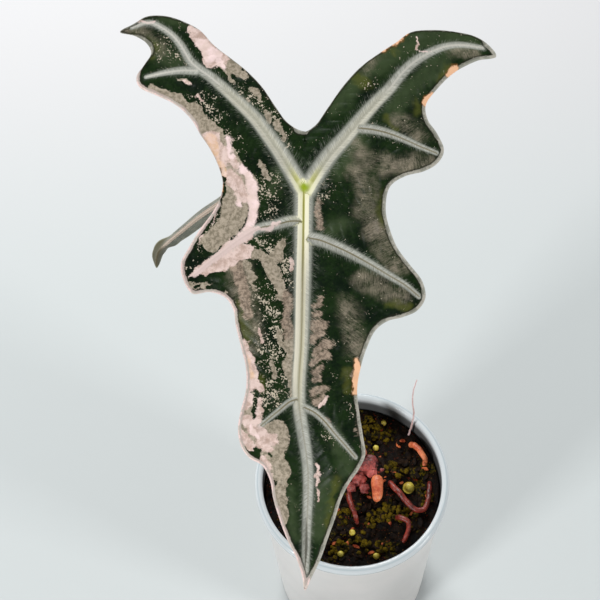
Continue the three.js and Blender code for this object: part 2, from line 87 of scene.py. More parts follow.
camera_data = bpy.data.cameras.new("camera")
camera_data.sensor_width = SENSOR
camera_data.lens = SENSOR * LENS_TO_PIXELS / PICTURE
camera_data.clip_start = 0.01
camera = bpy.data.objects.new("camera", camera_data)
bpy.context.collection.objects.link(camera)
look = Matrix.Rotation(math.radians(LOOK_TILT), 4, "X") @ Matrix.Rotation(math.radians(LOOK_ROLL), 4, "Z")
camera.matrix_world = Matrix.Translation(CAMERA_AT * MM) @ look
bpy.context.scene.camera = camera
print("lens:", round(camera_data.lens, 1), "mm")

# %% [markdown]
# ## Small tools
# Veins, stalks and roots all follow bent paths, and a path is easiest to note down as a few
# points. A Catmull-Rom curve runs through every one of them, and its centripetal form makes
# no loops where they stand close together. A Bezier curve would need two handles at each
# point as well. Everything is deselected before an operator runs, because operators act on
# all that is selected.


# %% Selection and curves
def select_only(obj):
    """Leaves one object selected and active."""
    bpy.ops.object.select_all(action="DESELECT")
    obj.select_set(True)
    bpy.context.view_layer.objects.active = obj


def smooth_path(points, step, closed=False):
    """Places every step mm or so along a centripetal Catmull-Rom curve through points."""
    pts = [np.array(p, float) for p in points]
    count = len(pts)
    out = []
    for i in range(count if closed else count - 1):
        p1, p2 = pts[i], pts[(i + 1) % count]
        p0 = pts[i - 1] if closed or i > 0 else 2 * p1 - p2
        p3 = pts[(i + 2) % count] if closed or i + 2 < count else 2 * p2 - p1
        t0 = 0.0
        t1 = t0 + np.linalg.norm(p1 - p0) ** 0.5
        t2 = t1 + np.linalg.norm(p2 - p1) ** 0.5
        t3 = t2 + np.linalg.norm(p3 - p2) ** 0.5
        parts = max(1, round(np.linalg.norm(p2 - p1) / step))
        for t in t1 + (t2 - t1) * np.arange(parts) / parts:
            a1 = (t1 - t) / (t1 - t0) * p0 + (t - t0) / (t1 - t0) * p1
            a2 = (t2 - t) / (t2 - t1) * p1 + (t - t1) / (t2 - t1) * p2
            a3 = (t3 - t) / (t3 - t2) * p2 + (t - t2) / (t3 - t2) * p3
            b1 = (t2 - t) / (t2 - t0) * a1 + (t - t0) / (t2 - t0) * a2
            b2 = (t3 - t) / (t3 - t1) * a2 + (t - t1) / (t3 - t1) * a3
            out.append((t2 - t) / (t2 - t1) * b1 + (t - t1) / (t2 - t1) * b2)
    if not closed:
        out.append(pts[-1])
    return np.array(out)


print("3 points, 10 mm apart, give", len(smooth_path([(0, 0), (10, 0), (20, 0)], 1)), "places")

# %% [markdown]
# A mesh is a list of places and a list of faces that name them. A number that belongs to a
# place, such as its distance from the leaf's margin, is kept with the mesh as an attribute,
# and a material can read it back. That stays sharp where a painted picture would blur. Where
# such a number should rise softly, ease makes a rounded step of it.


# %% Meshes, fields and soft steps
def mesh_object(name, places, faces, materials=()):
    """A mesh object from places in millimetres."""
    mesh = bpy.data.meshes.new(name)
    mesh.from_pydata([tuple(p) for p in np.asarray(places) * MM], [], [tuple(f) for f in faces])
    mesh.update()
    obj = bpy.data.objects.new(name, mesh)
    bpy.context.collection.objects.link(obj)
    for material in materials:
        mesh.materials.append(material)
    return obj


def give_field(obj, name, values):
    """Keeps one number for each vertex, for the material to read."""
    layer = obj.data.attributes.new(name, "FLOAT", "POINT")
    layer.data.foreach_set("value", np.asarray(values, np.float32))


def ease(value, low, high):
    """0 below low, 1 above high, smooth between."""
    t = np.clip((np.asarray(value, float) - low) / (high - low), 0, 1)
    return t * t * (3 - 2 * t)


print("a quarter of the way up, ease gives", float(ease(0.25, 0, 1)))

# %% [markdown]
# ## Shader tools
# A material is a small circuit of nodes. Placing one by hand takes several lines, so these
# helpers place one node each and return its output, and a material below then reads like a
# recipe. Colours are written as they look on a screen, 0 to 255, and turned to the linear
# values that Blender's sockets expect.


# %% Colours, links and sums
def colour(r, g, b):
    """A linear colour from screen values of 0 to 255."""
    def linear(c):
        c /= 255
        return c / 12.92 if c <= 0.04045 else ((c + 0.055) / 1.055) ** 2.4

    return (linear(r), linear(g), linear(b), 1.0)


def feed(tree, socket, value):
    """Links an output to a socket, or sets the socket to a plain value."""
    if isinstance(value, bpy.types.NodeSocket):
        tree.links.new(value, socket)
    elif value is not None:
        socket.default_value = value


def calc(tree, operation, a, b=None, clamp=False):
    """One step of arithmetic."""
    node = tree.nodes.new("ShaderNodeMath")
    node.operation = operation
    node.use_clamp = clamp
    feed(tree, node.inputs[0], a)
    feed(tree, node.inputs[1], b)
    return node.outputs[0]


def times(tree, *factors):
    """The product of all factors."""
    out = factors[0]
    for factor in factors[1:]:
        out = calc(tree, "MULTIPLY", out, factor)
    return out


def fade(tree, value, low, high, at_low=0.0, at_high=1.0):
    """Goes smoothly from at_low to at_high as value goes from low to high."""
    node = tree.nodes.new("ShaderNodeMapRange")
    node.interpolation_type = "SMOOTHSTEP"
    for socket, number in zip(node.inputs[:5], (value, low, high, at_low, at_high)):
        feed(tree, socket, number)
    return node.outputs[0]


def mix(tree, share, a, b):
    """A blend of two colours: a where share is 0, b where it is 1."""
    node = tree.nodes.new("ShaderNodeMix")
    node.data_type = "RGBA"
    feed(tree, node.inputs["Factor"], share)
    feed(tree, node.inputs[6], a)
    feed(tree, node.inputs[7], b)
    return node.outputs[2]


print("middle grey on a screen, in linear light:", round(colour(128, 128, 128)[0], 3))

# %% [markdown]
# Nothing on a plant has one flat colour, so nearly every finish starts from noise. It is read
# at Object coordinates, which sit still on the piece, so its scale is in waves per metre.
# The cell pattern gives pores and crumbs, and a bump tilts the light over both without
# changing the mesh.


# %% Noise, cells and bumps
def field(tree, name):
    """A number that give_field kept with the mesh."""
    node = tree.nodes.new("ShaderNodeAttribute")
    node.attribute_name = name
    return node.outputs["Fac"]


def object_place(tree):
    """The place on the object, in metres."""
    return tree.nodes.new("ShaderNodeTexCoord").outputs["Object"]


def combine(tree, x, y, z=0.0):
    """Three numbers as one vector."""
    node = tree.nodes.new("ShaderNodeCombineXYZ")
    for socket, number in zip(node.inputs, (x, y, z)):
        feed(tree, socket, number)
    return node.outputs[0]


def grain(tree, place, scale, detail=2.0, rough=0.5, twist=0.0):
    """Noise between about 0.25 and 0.75; scale is waves per metre on object places."""
    node = tree.nodes.new("ShaderNodeTexNoise")
    feed(tree, node.inputs["Vector"], place)
    node.inputs["Scale"].default_value = scale
    node.inputs["Detail"].default_value = detail
    node.inputs["Roughness"].default_value = rough
    node.inputs["Distortion"].default_value = twist
    return node.outputs["Fac"]


def centred(tree, value, by=1.0):
    """A noise value moved to swing round zero."""
    return times(tree, calc(tree, "SUBTRACT", value, 0.5), by)


def cells(tree, place, scale):
    """Distance to the nearest of many scattered points."""
    node = tree.nodes.new("ShaderNodeTexVoronoi")
    feed(tree, node.inputs["Vector"], place)
    node.inputs["Scale"].default_value = scale
    return node.outputs["Distance"]


def bump(tree, height, strength, distance, below=None):
    """A normal that tilts as if the surface rose by distance mm where height is 1."""
    node = tree.nodes.new("ShaderNodeBump")
    node.inputs["Strength"].default_value = strength
    node.inputs["Distance"].default_value = distance * MM
    feed(tree, node.inputs["Height"], height)
    feed(tree, node.inputs["Normal"], below)
    return node.outputs[0]


def new_material(name):
    """A material, its node tree and its main shader."""
    material = bpy.data.materials.new(name)
    material.use_nodes = True
    return material, material.node_tree, material.node_tree.nodes["Principled BSDF"]


print("materials before the first finish:", len(bpy.data.materials))

# %% [markdown]
# ### Shared effects
# Two effects come back in several materials, so each is a node group. The mottle turns a
# soft painted field into a patch with the torn, speckled edge that variegation has: the
# field is 0.5 on the patch's outline, and noise pushes the outline in and out. The living
# grain is the fine unevenness of plant skin, a darker and lighter version of one colour.


# %% Mottle and living grain
def new_group(name, inputs, outputs):
    """An empty node group, and its named sockets as seen from inside."""
    group = bpy.data.node_groups.new(name, "ShaderNodeTree")
    for socket_name, kind in inputs:
        group.interface.new_socket(socket_name, in_out="INPUT", socket_type="NodeSocket" + kind)
    for socket_name, kind in outputs:
        group.interface.new_socket(socket_name, in_out="OUTPUT", socket_type="NodeSocket" + kind)
    return group, group.nodes.new("NodeGroupInput").outputs, group.nodes.new("NodeGroupOutput").inputs


def make_mottle():
    """A mask with a torn, speckled edge, from a soft field."""
    group, given, out = new_group(
        "mottle",
        [("Field", "Float"), ("Place", "Vector"), ("Raggedness", "Float"), ("Softness", "Float")],
        [("Mask", "Float")],
    )
    coarse = grain(group, given["Place"], 420, 3, 0.65)
    fine = grain(group, given["Place"], 1500, 2, 0.6)
    both = calc(group, "ADD", times(group, coarse, 0.6), times(group, fine, 0.4))
    push = centred(group, both, given["Raggedness"])
    level = calc(group, "ADD", given["Field"], push)
    low = calc(group, "SUBTRACT", 0.5, given["Softness"])
    high = calc(group, "ADD", 0.5, given["Softness"])
    feed(group, out["Mask"], fade(group, level, low, high))
    return group


def make_living_grain():
    """A colour between dark and light that wanders over the skin, and a fine height."""
    group, given, out = new_group(
        "living_grain",
        [("Dark", "Color"), ("Light", "Color"), ("Place", "Vector")],
        [("Color", "Color"), ("Height", "Float")],
    )
    broad = grain(group, given["Place"], 90, 4, 0.6)
    fine = grain(group, given["Place"], 900, 3, 0.6)
    both = calc(group, "ADD", times(group, broad, 0.65), times(group, fine, 0.35))
    feed(group, out["Color"], mix(group, fade(group, both, 0.36, 0.64), given["Dark"], given["Light"]))
    feed(group, out["Height"], fine)
    return group


def use_group(tree, group, **inputs):
    """Places a shared group and feeds its inputs by name."""
    node = tree.nodes.new("ShaderNodeGroup")
    node.node_tree = group
    for socket_name, value in inputs.items():
        feed(tree, node.inputs[socket_name], value)
    return node.outputs


mottle = make_mottle()
living_grain = make_living_grain()
print("shared groups:", mottle.name, living_grain.name)

# %% [markdown]
# ## The large blade's drawing
# A leaf is a thin sheet whose beauty is its outline, its veins and its colour patches, so all
# three are drawn flat first: x to the right, y towards the horns, with 0, 0 where the stalk
# joins. The outline has the same points as the solid it replaces. It could be a curve
# object, but a list of points can also be measured from, as the rim needs.

# %% Outline of the large blade
LEFT_HORN = [
    (-6.4, 26.8), (-11.2, 33.2), (-16.8, 41.6), (-22.8, 48), (-29.2, 53.2), (-36.4, 58.8),
    (-41.6, 64.4), (-48, 68), (-55.2, 70.4), (-63.2, 70.4), (-68, 67.8), (-74, 64), (-68.4, 62.6),
    (-63.2, 59.2), (-61.4, 55.4), (-64, 50.8), (-67.2, 45.6), (-66, 41.6), (-59.2, 38), (-51.2, 34),
    (-45.2, 28.4), (-41.2, 22), (-37.2, 16), (-34, 9.2), (-32.4, 2.8),
]
LEFT_SIDE = [
    (-33.2, -2.4), (-36.4, -8.8), (-41.6, -16), (-46, -23.6), (-48.8, -29.2), (-48.2, -35.2),
    (-44.4, -41.4), (-37.6, -40.8), (-31.6, -42.8), (-28.4, -47.2), (-27.2, -54.4), (-25.2, -62.8),
    (-23.2, -71.2), (-23.2, -80), (-25.2, -88), (-26.4, -96), (-25.2, -102.5), (-22, -107.4),
    (-16.8, -110.6), (-13.6, -117), (-12.4, -124), (-10, -132), (-6.8, -140.5), (-3, -148.5),
    (-0.8, -155.5),
]
RIGHT_SIDE = [
    (3.2, -156.5), (6.8, -149), (9.6, -141), (12.8, -132), (15.2, -124), (18.4, -117.4), (22.4, -111.4),
    (24.6, -106), (23.6, -98), (22.4, -90), (21.4, -80), (22.8, -70.8), (25, -63.4), (28.4, -56.2),
    (33.2, -52.4), (39.2, -50.8), (45, -48.2), (48.4, -43), (47.2, -36.4), (42.4, -30), (37.2, -22.8),
    (34.4, -16), (32.6, -7.6), (34.2, 1),
]
RIGHT_HORN = [
    (40, 5.2), (47.6, 7.2), (53.4, 10.8), (55.8, 15.8), (53.2, 22.4), (49.6, 28), (48.8, 34),
    (53.6, 40.8), (60.4, 47.2), (69.6, 52), (77, 53.6), (74.4, 58), (69.2, 61.6), (61.6, 63.6),
    (52, 64.4), (43.2, 63.6), (36.8, 59.2), (28.8, 54), (22, 48.8), (15.2, 41.2), (9.6, 33.2),
    (4.4, 26),
]
TIP = [(0.4, -162)]
BIG_MARGIN = [(0, 23.6)] + LEFT_HORN + LEFT_SIDE + TIP + RIGHT_SIDE + RIGHT_HORN
print("outline:", len(BIG_MARGIN), "points")

# %% [markdown]
# A vein has a path, the half width of its silver band, how high and how wide it stands out
# under the blade, and how strongly its middle shows the cream ridges or a dark line. Each
# pair is the value at the vein's start and at its end. One of the two ridges is brighter,
# and side=-1 swaps a vein's sides, which puts it on the left horn's outer edge. Veins could
# be meshes of their own, but as numbers on the sheet they shape it and colour it at once.

# %% Veins of the large blade
BIG_VEINS = {
    "midrib": dict(
        path=[(0, 2), (-0.4, -28), (-1, -60), (-2, -84), (1.6, -112), (1.2, -136), (0.4, -158)],
        band=(4.3, 1.6), rib=(2.6, 0.4), width=(3.4, 1.2), cream=(1, 0), line=(0.6, 0.35),
    ),
    "horn_left": dict(
        path=[
            (-0.4, 0), (-5.2, 8), (-9.6, 15.2), (-14.4, 22), (-19.6, 28.8), (-25.6, 34.8),
            (-31.6, 40.4), (-37.6, 45.6), (-41.6, 48.4), (-45.6, 52), (-49.2, 58), (-52.8, 62.4),
            (-57.6, 66), (-62.4, 68), (-69.6, 66),
        ],
        band=(4.0, 1.0), rib=(2.2, 0.4), width=(3.2, 1.4), cream=(0.4, 0.0), line=(0.1, 0.1), side=-1,
    ),
    "horn_right": dict(
        path=[
            (1.2, 0), (5.6, 7.2), (10.4, 14), (16.4, 20.8), (22.4, 28), (28.4, 34.8), (34.4, 40.8),
            (39.2, 46.8), (44.4, 51.6), (50.4, 55.2), (56.4, 57.6), (62.4, 58.4), (72, 57.2),
        ],
        band=(4.2, 1.1), rib=(2.2, 0.4), width=(3.2, 1.4), cream=(0.34, 0.0), line=(0.15, 0.15),
    ),
    "side_left": dict(
        path=[
            (-0.8, -12.4), (-5.6, -12.4), (-11.6, -14), (-17.6, -15.2), (-22.8, -18), (-27.6, -21.2),
            (-31.6, -24.4), (-36.4, -28), (-43.6, -34),
        ],
        band=(2.5, 1.0), rib=(1.2, 0.4), width=(2.2, 1.3), cream=(0, 0), line=(1, 0.8),
    ),
    "side_right": dict(
        path=[
            (2.4, -19.2), (6.4, -20), (12.4, -22.4), (18.4, -25.2), (26.4, -29.6), (34.4, -34.4),
            (40.4, -38), (46, -42.6),
        ],
        band=(2.8, 1.2), rib=(1.2, 0.4), width=(2.2, 1.3), cream=(0, 0), line=(1, 0.8),
    ),
    "low_left": dict(
        path=[(-2, -83.6), (-5.6, -84.8), (-9.6, -88), (-13.6, -91.2), (-17.5, -94.5)],
        band=(1.6, 1.0), rib=(0.9, 0.3), width=(1.8, 1.2), cream=(0, 0), line=(1, 0.8),
    ),
    "low_right": dict(
        path=[(0.4, -87.2), (4.4, -89.2), (8.4, -92.8), (12.4, -97.6), (16.4, -102), (20.8, -107.2)],
        band=(1.7, 1.0), rib=(0.9, 0.3), width=(1.8, 1.2), cream=(0, 0), line=(1, 0.8),
    ),
    "lobe_left": dict(
        path=[(-43.2, 48), (-49.6, 48), (-55.6, 47.2), (-63.5, 45.6)],
        band=(2.0, 0.9), rib=(0.8, 0.3), width=(1.6, 1.2), cream=(0, 0), line=(0.1, 0.1),
    ),
    "lobe_right": dict(
        path=[(22.6, 24.8), (28.4, 24), (34.4, 22.4), (40.4, 20), (46.4, 17.2), (53, 14.6)],
        band=(2.2, 1.1), rib=(0.9, 0.3), width=(1.8, 1.2), cream=(0, 0), line=(1, 0.8),
    ),
}
print("veins:", ", ".join(BIG_VEINS))

# %% [markdown]
# The variegation is painted with brush strokes: each is a path and a radius in millimetres,
# read from the photograph. A stroke's edge is where its field is one half, and the mottle
# group later tears that edge. The left half is a patchwork of pink, beige and speckled
# green, and the right half is nearly all dark green. A picture laid over the leaf would be
# quicker, but strokes stay sharp at any distance and can be moved one by one. The pale
# patches come first.

# %% Strokes: pale patches
PALE = {
    "beige": [
        ([(-61.5, 41), (-55.5, 38.3)], 1.8), ([(-55.5, 38.3), (-50.5, 35.8), (-45, 32)], 2.6),
        ([(-45, 32), (-40.5, 26.5), (-37, 20.5)], 3.2), ([(-35, 21), (-31.5, 15), (-27.5, 9)], 3.4),
        ([(-30, 9.5), (-28, 3), (-27.5, -4)], 3.6), ([(-27.5, -4), (-29, -11), (-32, -18)], 4.4),
        ([(-33, -14), (-37.5, -22)], 3.4), ([(-26, 8), (-24.5, 0), (-25, -9), (-29, -17)], 2.6),
        ([(-33, 53), (-28.5, 49.5), (-25.8, 46.8)], 3.4), ([(-29.5, 48), (-28.8, 44.3)], 1.8),
        ([(-21, -25), (-16, -27)], 2), ([(-16, -27), (-12.5, -33)], 2.3),
        ([(-12.5, -33), (-10, -38), (-9.5, -43)], 1.8),
        ([(-9, -21.5), (-10.5, -26), (-14, -28.5)], 1.8),
        ([(-5.2, -58), (-5.3, -66), (-5.2, -72), (-4.6, -81)], 1.6),
        ([(-10, -57), (-9, -61), (-7, -63)], 1.4), ([(-12.8, -69.5), (-12.6, -75)], 1.3),
        ([(-20, -98), (-12, -98)], 6.2), ([(-12, -104), (-10.2, -113)], 4.6),
        ([(-24, -88), (-22, -96)], 3.4), ([(-9.4, -113), (-9.8, -120), (-9.2, -128), (-8, -133)], 2.0),
        ([(-46, -38), (-39, -38.6), (-33, -40)], 1.5), ([(-20, 40), (-17.5, 36.8)], 1.2),
        ([(-15.3, 31), (-14, 27)], 1.1), ([(-10.5, 27), (-8, 21)], 1.2),
        ([(-17.8, 11), (-14, 4.5)], 1.1), ([(-20, 6), (-19, 4)], 0.9),
        ([(-25.5, 36.5), (-22.5, 34.5)], 0.9), ([(-22, -35), (-19, -39)], 1.0),
        ([(-24, -29.5), (-20, -35)], 1.4), ([(-50.5, 45), (-46, 43)], 0.7),
    ],
    "pink": [
        ([(-43.5, 64), (-40, 59), (-37, 54)], 3.4), ([(-38, 52), (-33.5, 52.5)], 3.0),
        ([(-33, 56), (-30, 52.5)], 1.6), ([(-37, 20), (-33.5, 12)], 3.6),
        ([(-30, 7), (-25.5, 1), (-24, -3)], 2.0), ([(-31, 16), (-27, 9.5)], 1.4),
        ([(-20, -16.8), (-29, -22.5), (-37, -29), (-43.5, -33.8)], 1.6),
        ([(-23.5, -24.5), (-31, -27.5), (-41, -32.5)], 3.4), ([(-27, -23.5), (-33, -29.5)], 3.0),
        ([(-5.2, -28), (-5, -31)], 1.2), ([(-24, -62), (-22.2, -68), (-20.3, -76)], 2.3),
        ([(-20.4, -76), (-17.2, -79)], 1.3), ([(-21.5, -77), (-22.8, -86)], 1.7),
        ([(-22.5, -92), (-18.5, -97), (-13, -99.5)], 2.5), ([(-18.5, -101), (-14.5, -104)], 1.8),
        ([(-17.3, -84), (-18, -94)], 1.1), ([(5.2, -110), (5.8, -118), (5.6, -125)], 0.55),
        ([(-24.5, -98), (-21, -103)], 1.6), ([(-15.5, -108), (-13.5, -115)], 1.3),
        ([(6.5, -86.5), (9.3, -83.5)], 0.7), ([(-66, 68.3), (-61, 68.8)], 0.6),
        ([(-18.5, -56), (-16.5, -61)], 0.7), ([(46, 61.3), (45.4, 57.5), (47, 55.8), (51, 56.4)], 0.4),
        ([(-42.5, 37.5), (-40.5, 36)], 0.6), ([(-48, 43.5), (-45.5, 42.5)], 0.6),
        ([(-38.5, -13.5), (-35.5, -9)], 1.0), ([(-43.5, -23), (-40, -18)], 0.9),
    ],
    "white": [
        ([(-41, 59), (-37.5, 54)], 2.4), ([(-38.5, 55), (-34.5, 55)], 1.9),
        ([(-34, 52.5), (-32, 50)], 1.1),
        ([(-24.5, 8), (-21.5, 5), (-20.2, -3), (-19.8, -10), (-22.5, -17)], 2.1),
        ([(-30, 21), (-28.5, 13)], 0.8), ([(-9.5, -13.8), (-20, -16.6), (-26, -20)], 0.8),
        ([(-20, -16.6), (-30, -23), (-41, -32)], 0.8), ([(-24, -17.5), (-21, -15)], 1.6),
        ([(-36, -27.5), (-43, -33)], 0.9), ([(-27, -2), (-26, -7)], 0.7),
        ([(-19, -100), (-21, -94)], 0.7),
    ],
    "peach": [
        ([(-37.2, 20), (-35.4, 13), (-33, 5)], 2.4), ([(-24.5, -66), (-22, -74)], 1.6),
        ([(-38.5, 20), (-36.5, 15)], 1.2),
    ],
    "fawn": [
        ([(5.6, -5), (6, -14)], 1.5), ([(4, -46), (6.5, -44.5)], 1.1), ([(4, -50.5), (7, -49)], 1.3),
        ([(4, -55.5), (8, -53.5)], 1.8), ([(4, -59), (7.5, -57.4)], 1.5),
        ([(4, -64.4), (10, -61.8)], 1.7), ([(4, -68), (9, -66)], 1.7), ([(4, -73), (7.4, -71.4)], 1.3),
        ([(4, -76), (6, -75)], 1.2), ([(4.5, -81), (8, -79.6)], 1.4), ([(5, -85), (7.4, -83)], 1.3),
        ([(8, -92), (10.4, -95)], 1.1), ([(-6.5, -42), (-6.8, -50), (-6, -58)], 1.8),
        ([(-27, -31), (-24, -40), (-22.5, -50)], 2.2), ([(21.5, -68), (19.5, -74)], 1.4),
        ([(22, -84), (23, -98)], 0.8),
    ],
}
print("pale strokes:", {name: len(strokes) for name, strokes in PALE.items()})

# %% [markdown]
# The green itself has softer differences: a painted sheen between the veins, places
# painted lighter and greyer where more light falls, olive places, and areas where loose pale
# specks crowd. These fade over 3 mm at their edges, where a patch's edge is crisp, so they are
# kept in a group of their own.

# %% Strokes: tints and painted light in the green
TINTS_AND_PAINTED_LIGHT = {
    # painted sheen: light caught on the raised skin between the veins, painted into the colour
    "sheen": [
        ([(24, 2), (25, -8), (30, -19), (37, -30)], 4.2), ([(24, -36), (31, -39), (38, -42)], 4),
        ([(17, -47), (19, -55), (21, -64)], 4), ([(27, 11), (36, 9.5), (49, 11)], 3.6),
        ([(38, 27), (46, 22)], 3.4), ([(-26, -32), (-24, -42), (-23, -52), (-22, -60)], 5),
        ([(60, 56), (68, 54.6)], 2.2), ([(-70, 64.6), (-63, 63), (-58, 57)], 2.6),
        ([(18, 20), (23, 14)], 2.4), ([(26, -4), (20, 8)], 3), ([(30, 56), (24, 47)], 1.8),
    ],
    # painted light: places where the green is painted lighter and greyer, as where more light falls
    "painted_lit_green": [
        ([(28, 50), (46, 62), (66, 60)], 6), ([(12, 33), (26, 48)], 4),
        ([(36, 32), (44, 42), (56, 52)], 5), ([(-46, 68), (-58, 69)], 3), ([(-52, 52), (-62, 58)], 5),
        ([(-10, 8), (-12, 0)], 3), ([(10, -118), (5, -138)], 5), ([(-5, -120), (-4, -140)], 3),
        ([(22, 20), (14, 8)], 4), ([(10, -16), (16, -14)], 4), ([(12, -98), (18, -112)], 4),
    ],
    "olive": [
        ([(45, 35.5), (45.8, 31)], 1.8), ([(20, 46), (25, 42.5)], 2.2),
        ([(30.5, -2), (31, -8), (32.4, -14)], 2.5), ([(13.6, -115), (12, -126), (9.4, -136)], 2.0),
        ([(17, -72), (17.6, -80)], 1.6), ([(57, 48), (54, 44)], 1.8), ([(-25.6, -45), (-25, -55)], 1.8),
        ([(33, -46), (42, -46)], 1.8), ([(-64, 60.4), (-59, 58)], 2.2),
        ([(-68.5, 61.5), (-64, 58.5), (-62, 54)], 2.0), ([(-17.5, -75), (-17, -79)], 1.6),
        ([(-24, -52), (-22, -60)], 1.6), ([(35, 57), (37, 54)], 1.4), ([(33, 29), (36, 25)], 1.6),
    ],
    "speckled": [
        ([(-27, 42), (-20, 36), (-12, 27), (-8, 20)], 4.4), ([(-56, 55), (-48, 53)], 4),
        ([(-52, 63), (-56, 61)], 2), ([(-42, 37), (-33, 24), (-27, 14)], 3.6),
        ([(-15, 3), (-14, -8)], 4.6), ([(-34, -8), (-41, -20), (-46, -30)], 2.8),
        ([(-18, -21), (-10, -26), (-8, -38)], 5), ([(-16, -42), (-12, -56)], 4.5),
        ([(-14, -60), (-11, -66), (-14, -84)], 6.5), ([(10, 2.5), (8.6, -3)], 2.6),
        ([(9.4, -96), (10, -99)], 2.2), ([(-12.6, -131), (-9, -139)], 1.2),
        ([(-8, -120), (-8.4, -131)], 1), ([(18, -82), (19, -88)], 1.8), ([(28, 43), (24, 37)], 1.6),
    ],
}
print("tint strokes:", {name: len(strokes) for name, strokes in TINTS_AND_PAINTED_LIGHT.items()})

# %% [markdown]
# The last strokes are small: scorched spots where the leaf has dried, and islands of plain
# green at the edges of the patches. They are painted over the patches, because that is
# simpler than to cut the patches round them.

# %% Strokes: scorched spots and green islands
MARKS = {
    "burnt": [
        ([(32, 56.4), (36, 59.4), (40.4, 62.6)], 0.9), ([(60.4, 48.6), (57.6, 46)], 1.5),
        ([(50.2, 37), (49.2, 34.6)], 1.4), ([(21.2, -70), (21.4, -80)], 1.9),
        ([(-32.6, 3), (-32.2, -0.6)], 0.5),
    ],
    "bare_green": [
        ([(-35.6, -7), (-39.5, -14), (-44, -23), (-46, -29)], 1.5),
        ([(-44, -35.6), (-38, -34.8), (-32.6, -33.6)], 1.1), ([(-43.5, -38.4), (-41.8, -38.4)], 0.8),
        ([(-37.5, -38.8), (-33, -38.8)], 1.1), ([(-19.5, -103.4), (-17.6, -104)], 0.9),
        ([(-14.5, -106), (-12.6, -107)], 0.7), ([(-31.6, 5), (-31.4, -2)], 1.1),
        ([(-28, 45.8), (-24.5, 43)], 1.4),
    ],
}
STROKES = {**PALE, **TINTS_AND_PAINTED_LIGHT, **MARKS}
print("strokes in all:", sum(len(group) for group in STROKES.values()))

# %% [markdown]
# Strokes become numbers by distance: each place of the sheet looks for the nearest point of
# a path. It also learns how far along the path that point is and on which side of it, which
# the veins need. Painting weights by hand would give such numbers too, but not twice the
# same. The places are first pushed about by noise, so a straight stroke gets a living edge.

# %% Painting fields
SOFT_EDGE = 3.0
CRISP_EDGE = 1.2


def along_path(places, path):
    """Distance from each place to a path, where along it the nearest point is, and its side."""
    path = np.asarray(path, float)
    best = np.full(len(places), 1e9)
    where = np.zeros(len(places))
    side = np.zeros(len(places))
    run = 0.0
    for a, b in zip(path[:-1], path[1:]):
        leg = b - a
        length = max(np.linalg.norm(leg), 1e-9)
        share = np.clip(((places - a) @ leg) / length**2, 0, 1)
        gap = places - a - share[:, None] * leg
        distance = np.hypot(gap[:, 0], gap[:, 1])
        nearer = distance < best
        best[nearer] = distance[nearer]
        where[nearer] = run + share[nearer] * length
        side[nearer] = np.sign(leg[0] * gap[nearer, 1] - leg[1] * gap[nearer, 0])
        run += length
    return best, where, side, run


def warped(places):
    """The places pushed about by a slow and a quick noise."""
    out = np.array(places)
    for i, (x, y) in enumerate(places):
        for k in range(2):
            slow = noise.noise(Vector((x / 5.5, y / 5.5, 4.0 + 7 * k)))
            quick = noise.noise(Vector((x / 1.9, y / 1.9, 9.0 + 7 * k)))
            out[i, k] += 1.9 * slow + 0.8 * quick
    return out


def painted(places, strokes, soft):
    """1 inside the strokes, 0 outside, one half on their edges."""
    value = np.zeros(len(places))
    for path, radius in strokes:
        distance = along_path(places, path)[0]
        reach = min(soft, radius * 1.2)
        value = np.maximum(value, np.clip((radius + reach - distance) / (2 * reach), 0, 1))
    return value


edge_place = np.array([[0.0, 2.0]])
print("on a stroke's edge the field is", painted(edge_place, [([(-5, 0), (5, 0)], 2)], CRISP_EDGE)[0])

# %% [markdown]
# ## The blade's sheet
# A plain grid would leave a stepped margin, and a filled curve would have no points inside to
# bend, so the sheet is a constrained triangulation: an even net of points inside, and the
# outline kept exactly.


# %% A net of triangles inside an outline
def inside_loop(places, loop):
    """Which places lie inside a closed outline, by counting the edges to their right."""
    odd = np.zeros(len(places), bool)
    for a, b in zip(loop, np.roll(loop, -1, axis=0)):
        if a[1] == b[1]:
            continue
        crosses = (a[1] > places[:, 1]) != (b[1] > places[:, 1])
        odd ^= crosses & (places[:, 0] < (b[0] - a[0]) * (places[:, 1] - a[1]) / (b[1] - a[1]) + a[0])
    return odd


def flat_net(margin, pitch):
    """Points and triangles that fill a closed outline, pitch mm apart."""
    loop = smooth_path(margin, pitch, closed=True)
    low, high = loop.min(axis=0), loop.max(axis=0)
    rows = []
    for row, y in enumerate(np.arange(low[1], high[1], pitch * 0.866)):
        xs = np.arange(low[0] + (row % 2) * pitch / 2, high[0], pitch)
        rows.append(np.stack([xs, np.full(len(xs), y)], axis=1))
    net = np.concatenate(rows)
    net = net[inside_loop(net, loop)]
    to_margin = along_path(net, np.vstack([loop, loop[:1]]))[0]
    net = net[to_margin > pitch * 0.55]
    points = [Vector(p) for p in loop] + [Vector(p) for p in net]
    outline = list(range(len(loop)))
    verts, _, faces, *_ = delaunay_2d_cdt(points, [], [outline], 1, 1e-5)
    return np.array([tuple(v) for v in verts]), faces, loop


small_net = flat_net([(0, 0), (10, 0), (10, 10), (0, 10)], 2)
print("4 corners, 10 mm apart, are filled with", len(small_net[1]), "triangles")

# %% [markdown]
# Each vein of a leaf rules the strip of skin round it. So every place is given to its nearest
# vein, counted in that vein's own band widths, and takes that vein's numbers. Cutting the
# sheet into strips would do it too, but would leave seams. The count along a vein starts 40
# further on for each next vein, so that the noise of two neighbours doesn't line up.


# %% Numbers from the nearest vein
VEIN_STEP = 40
FOR_SKIN = ("along", "across", "share", "cream", "line")


def between(pair, share):
    """A value that goes from a pair's first number to its second."""
    return pair[0] + (pair[1] - pair[0]) * share


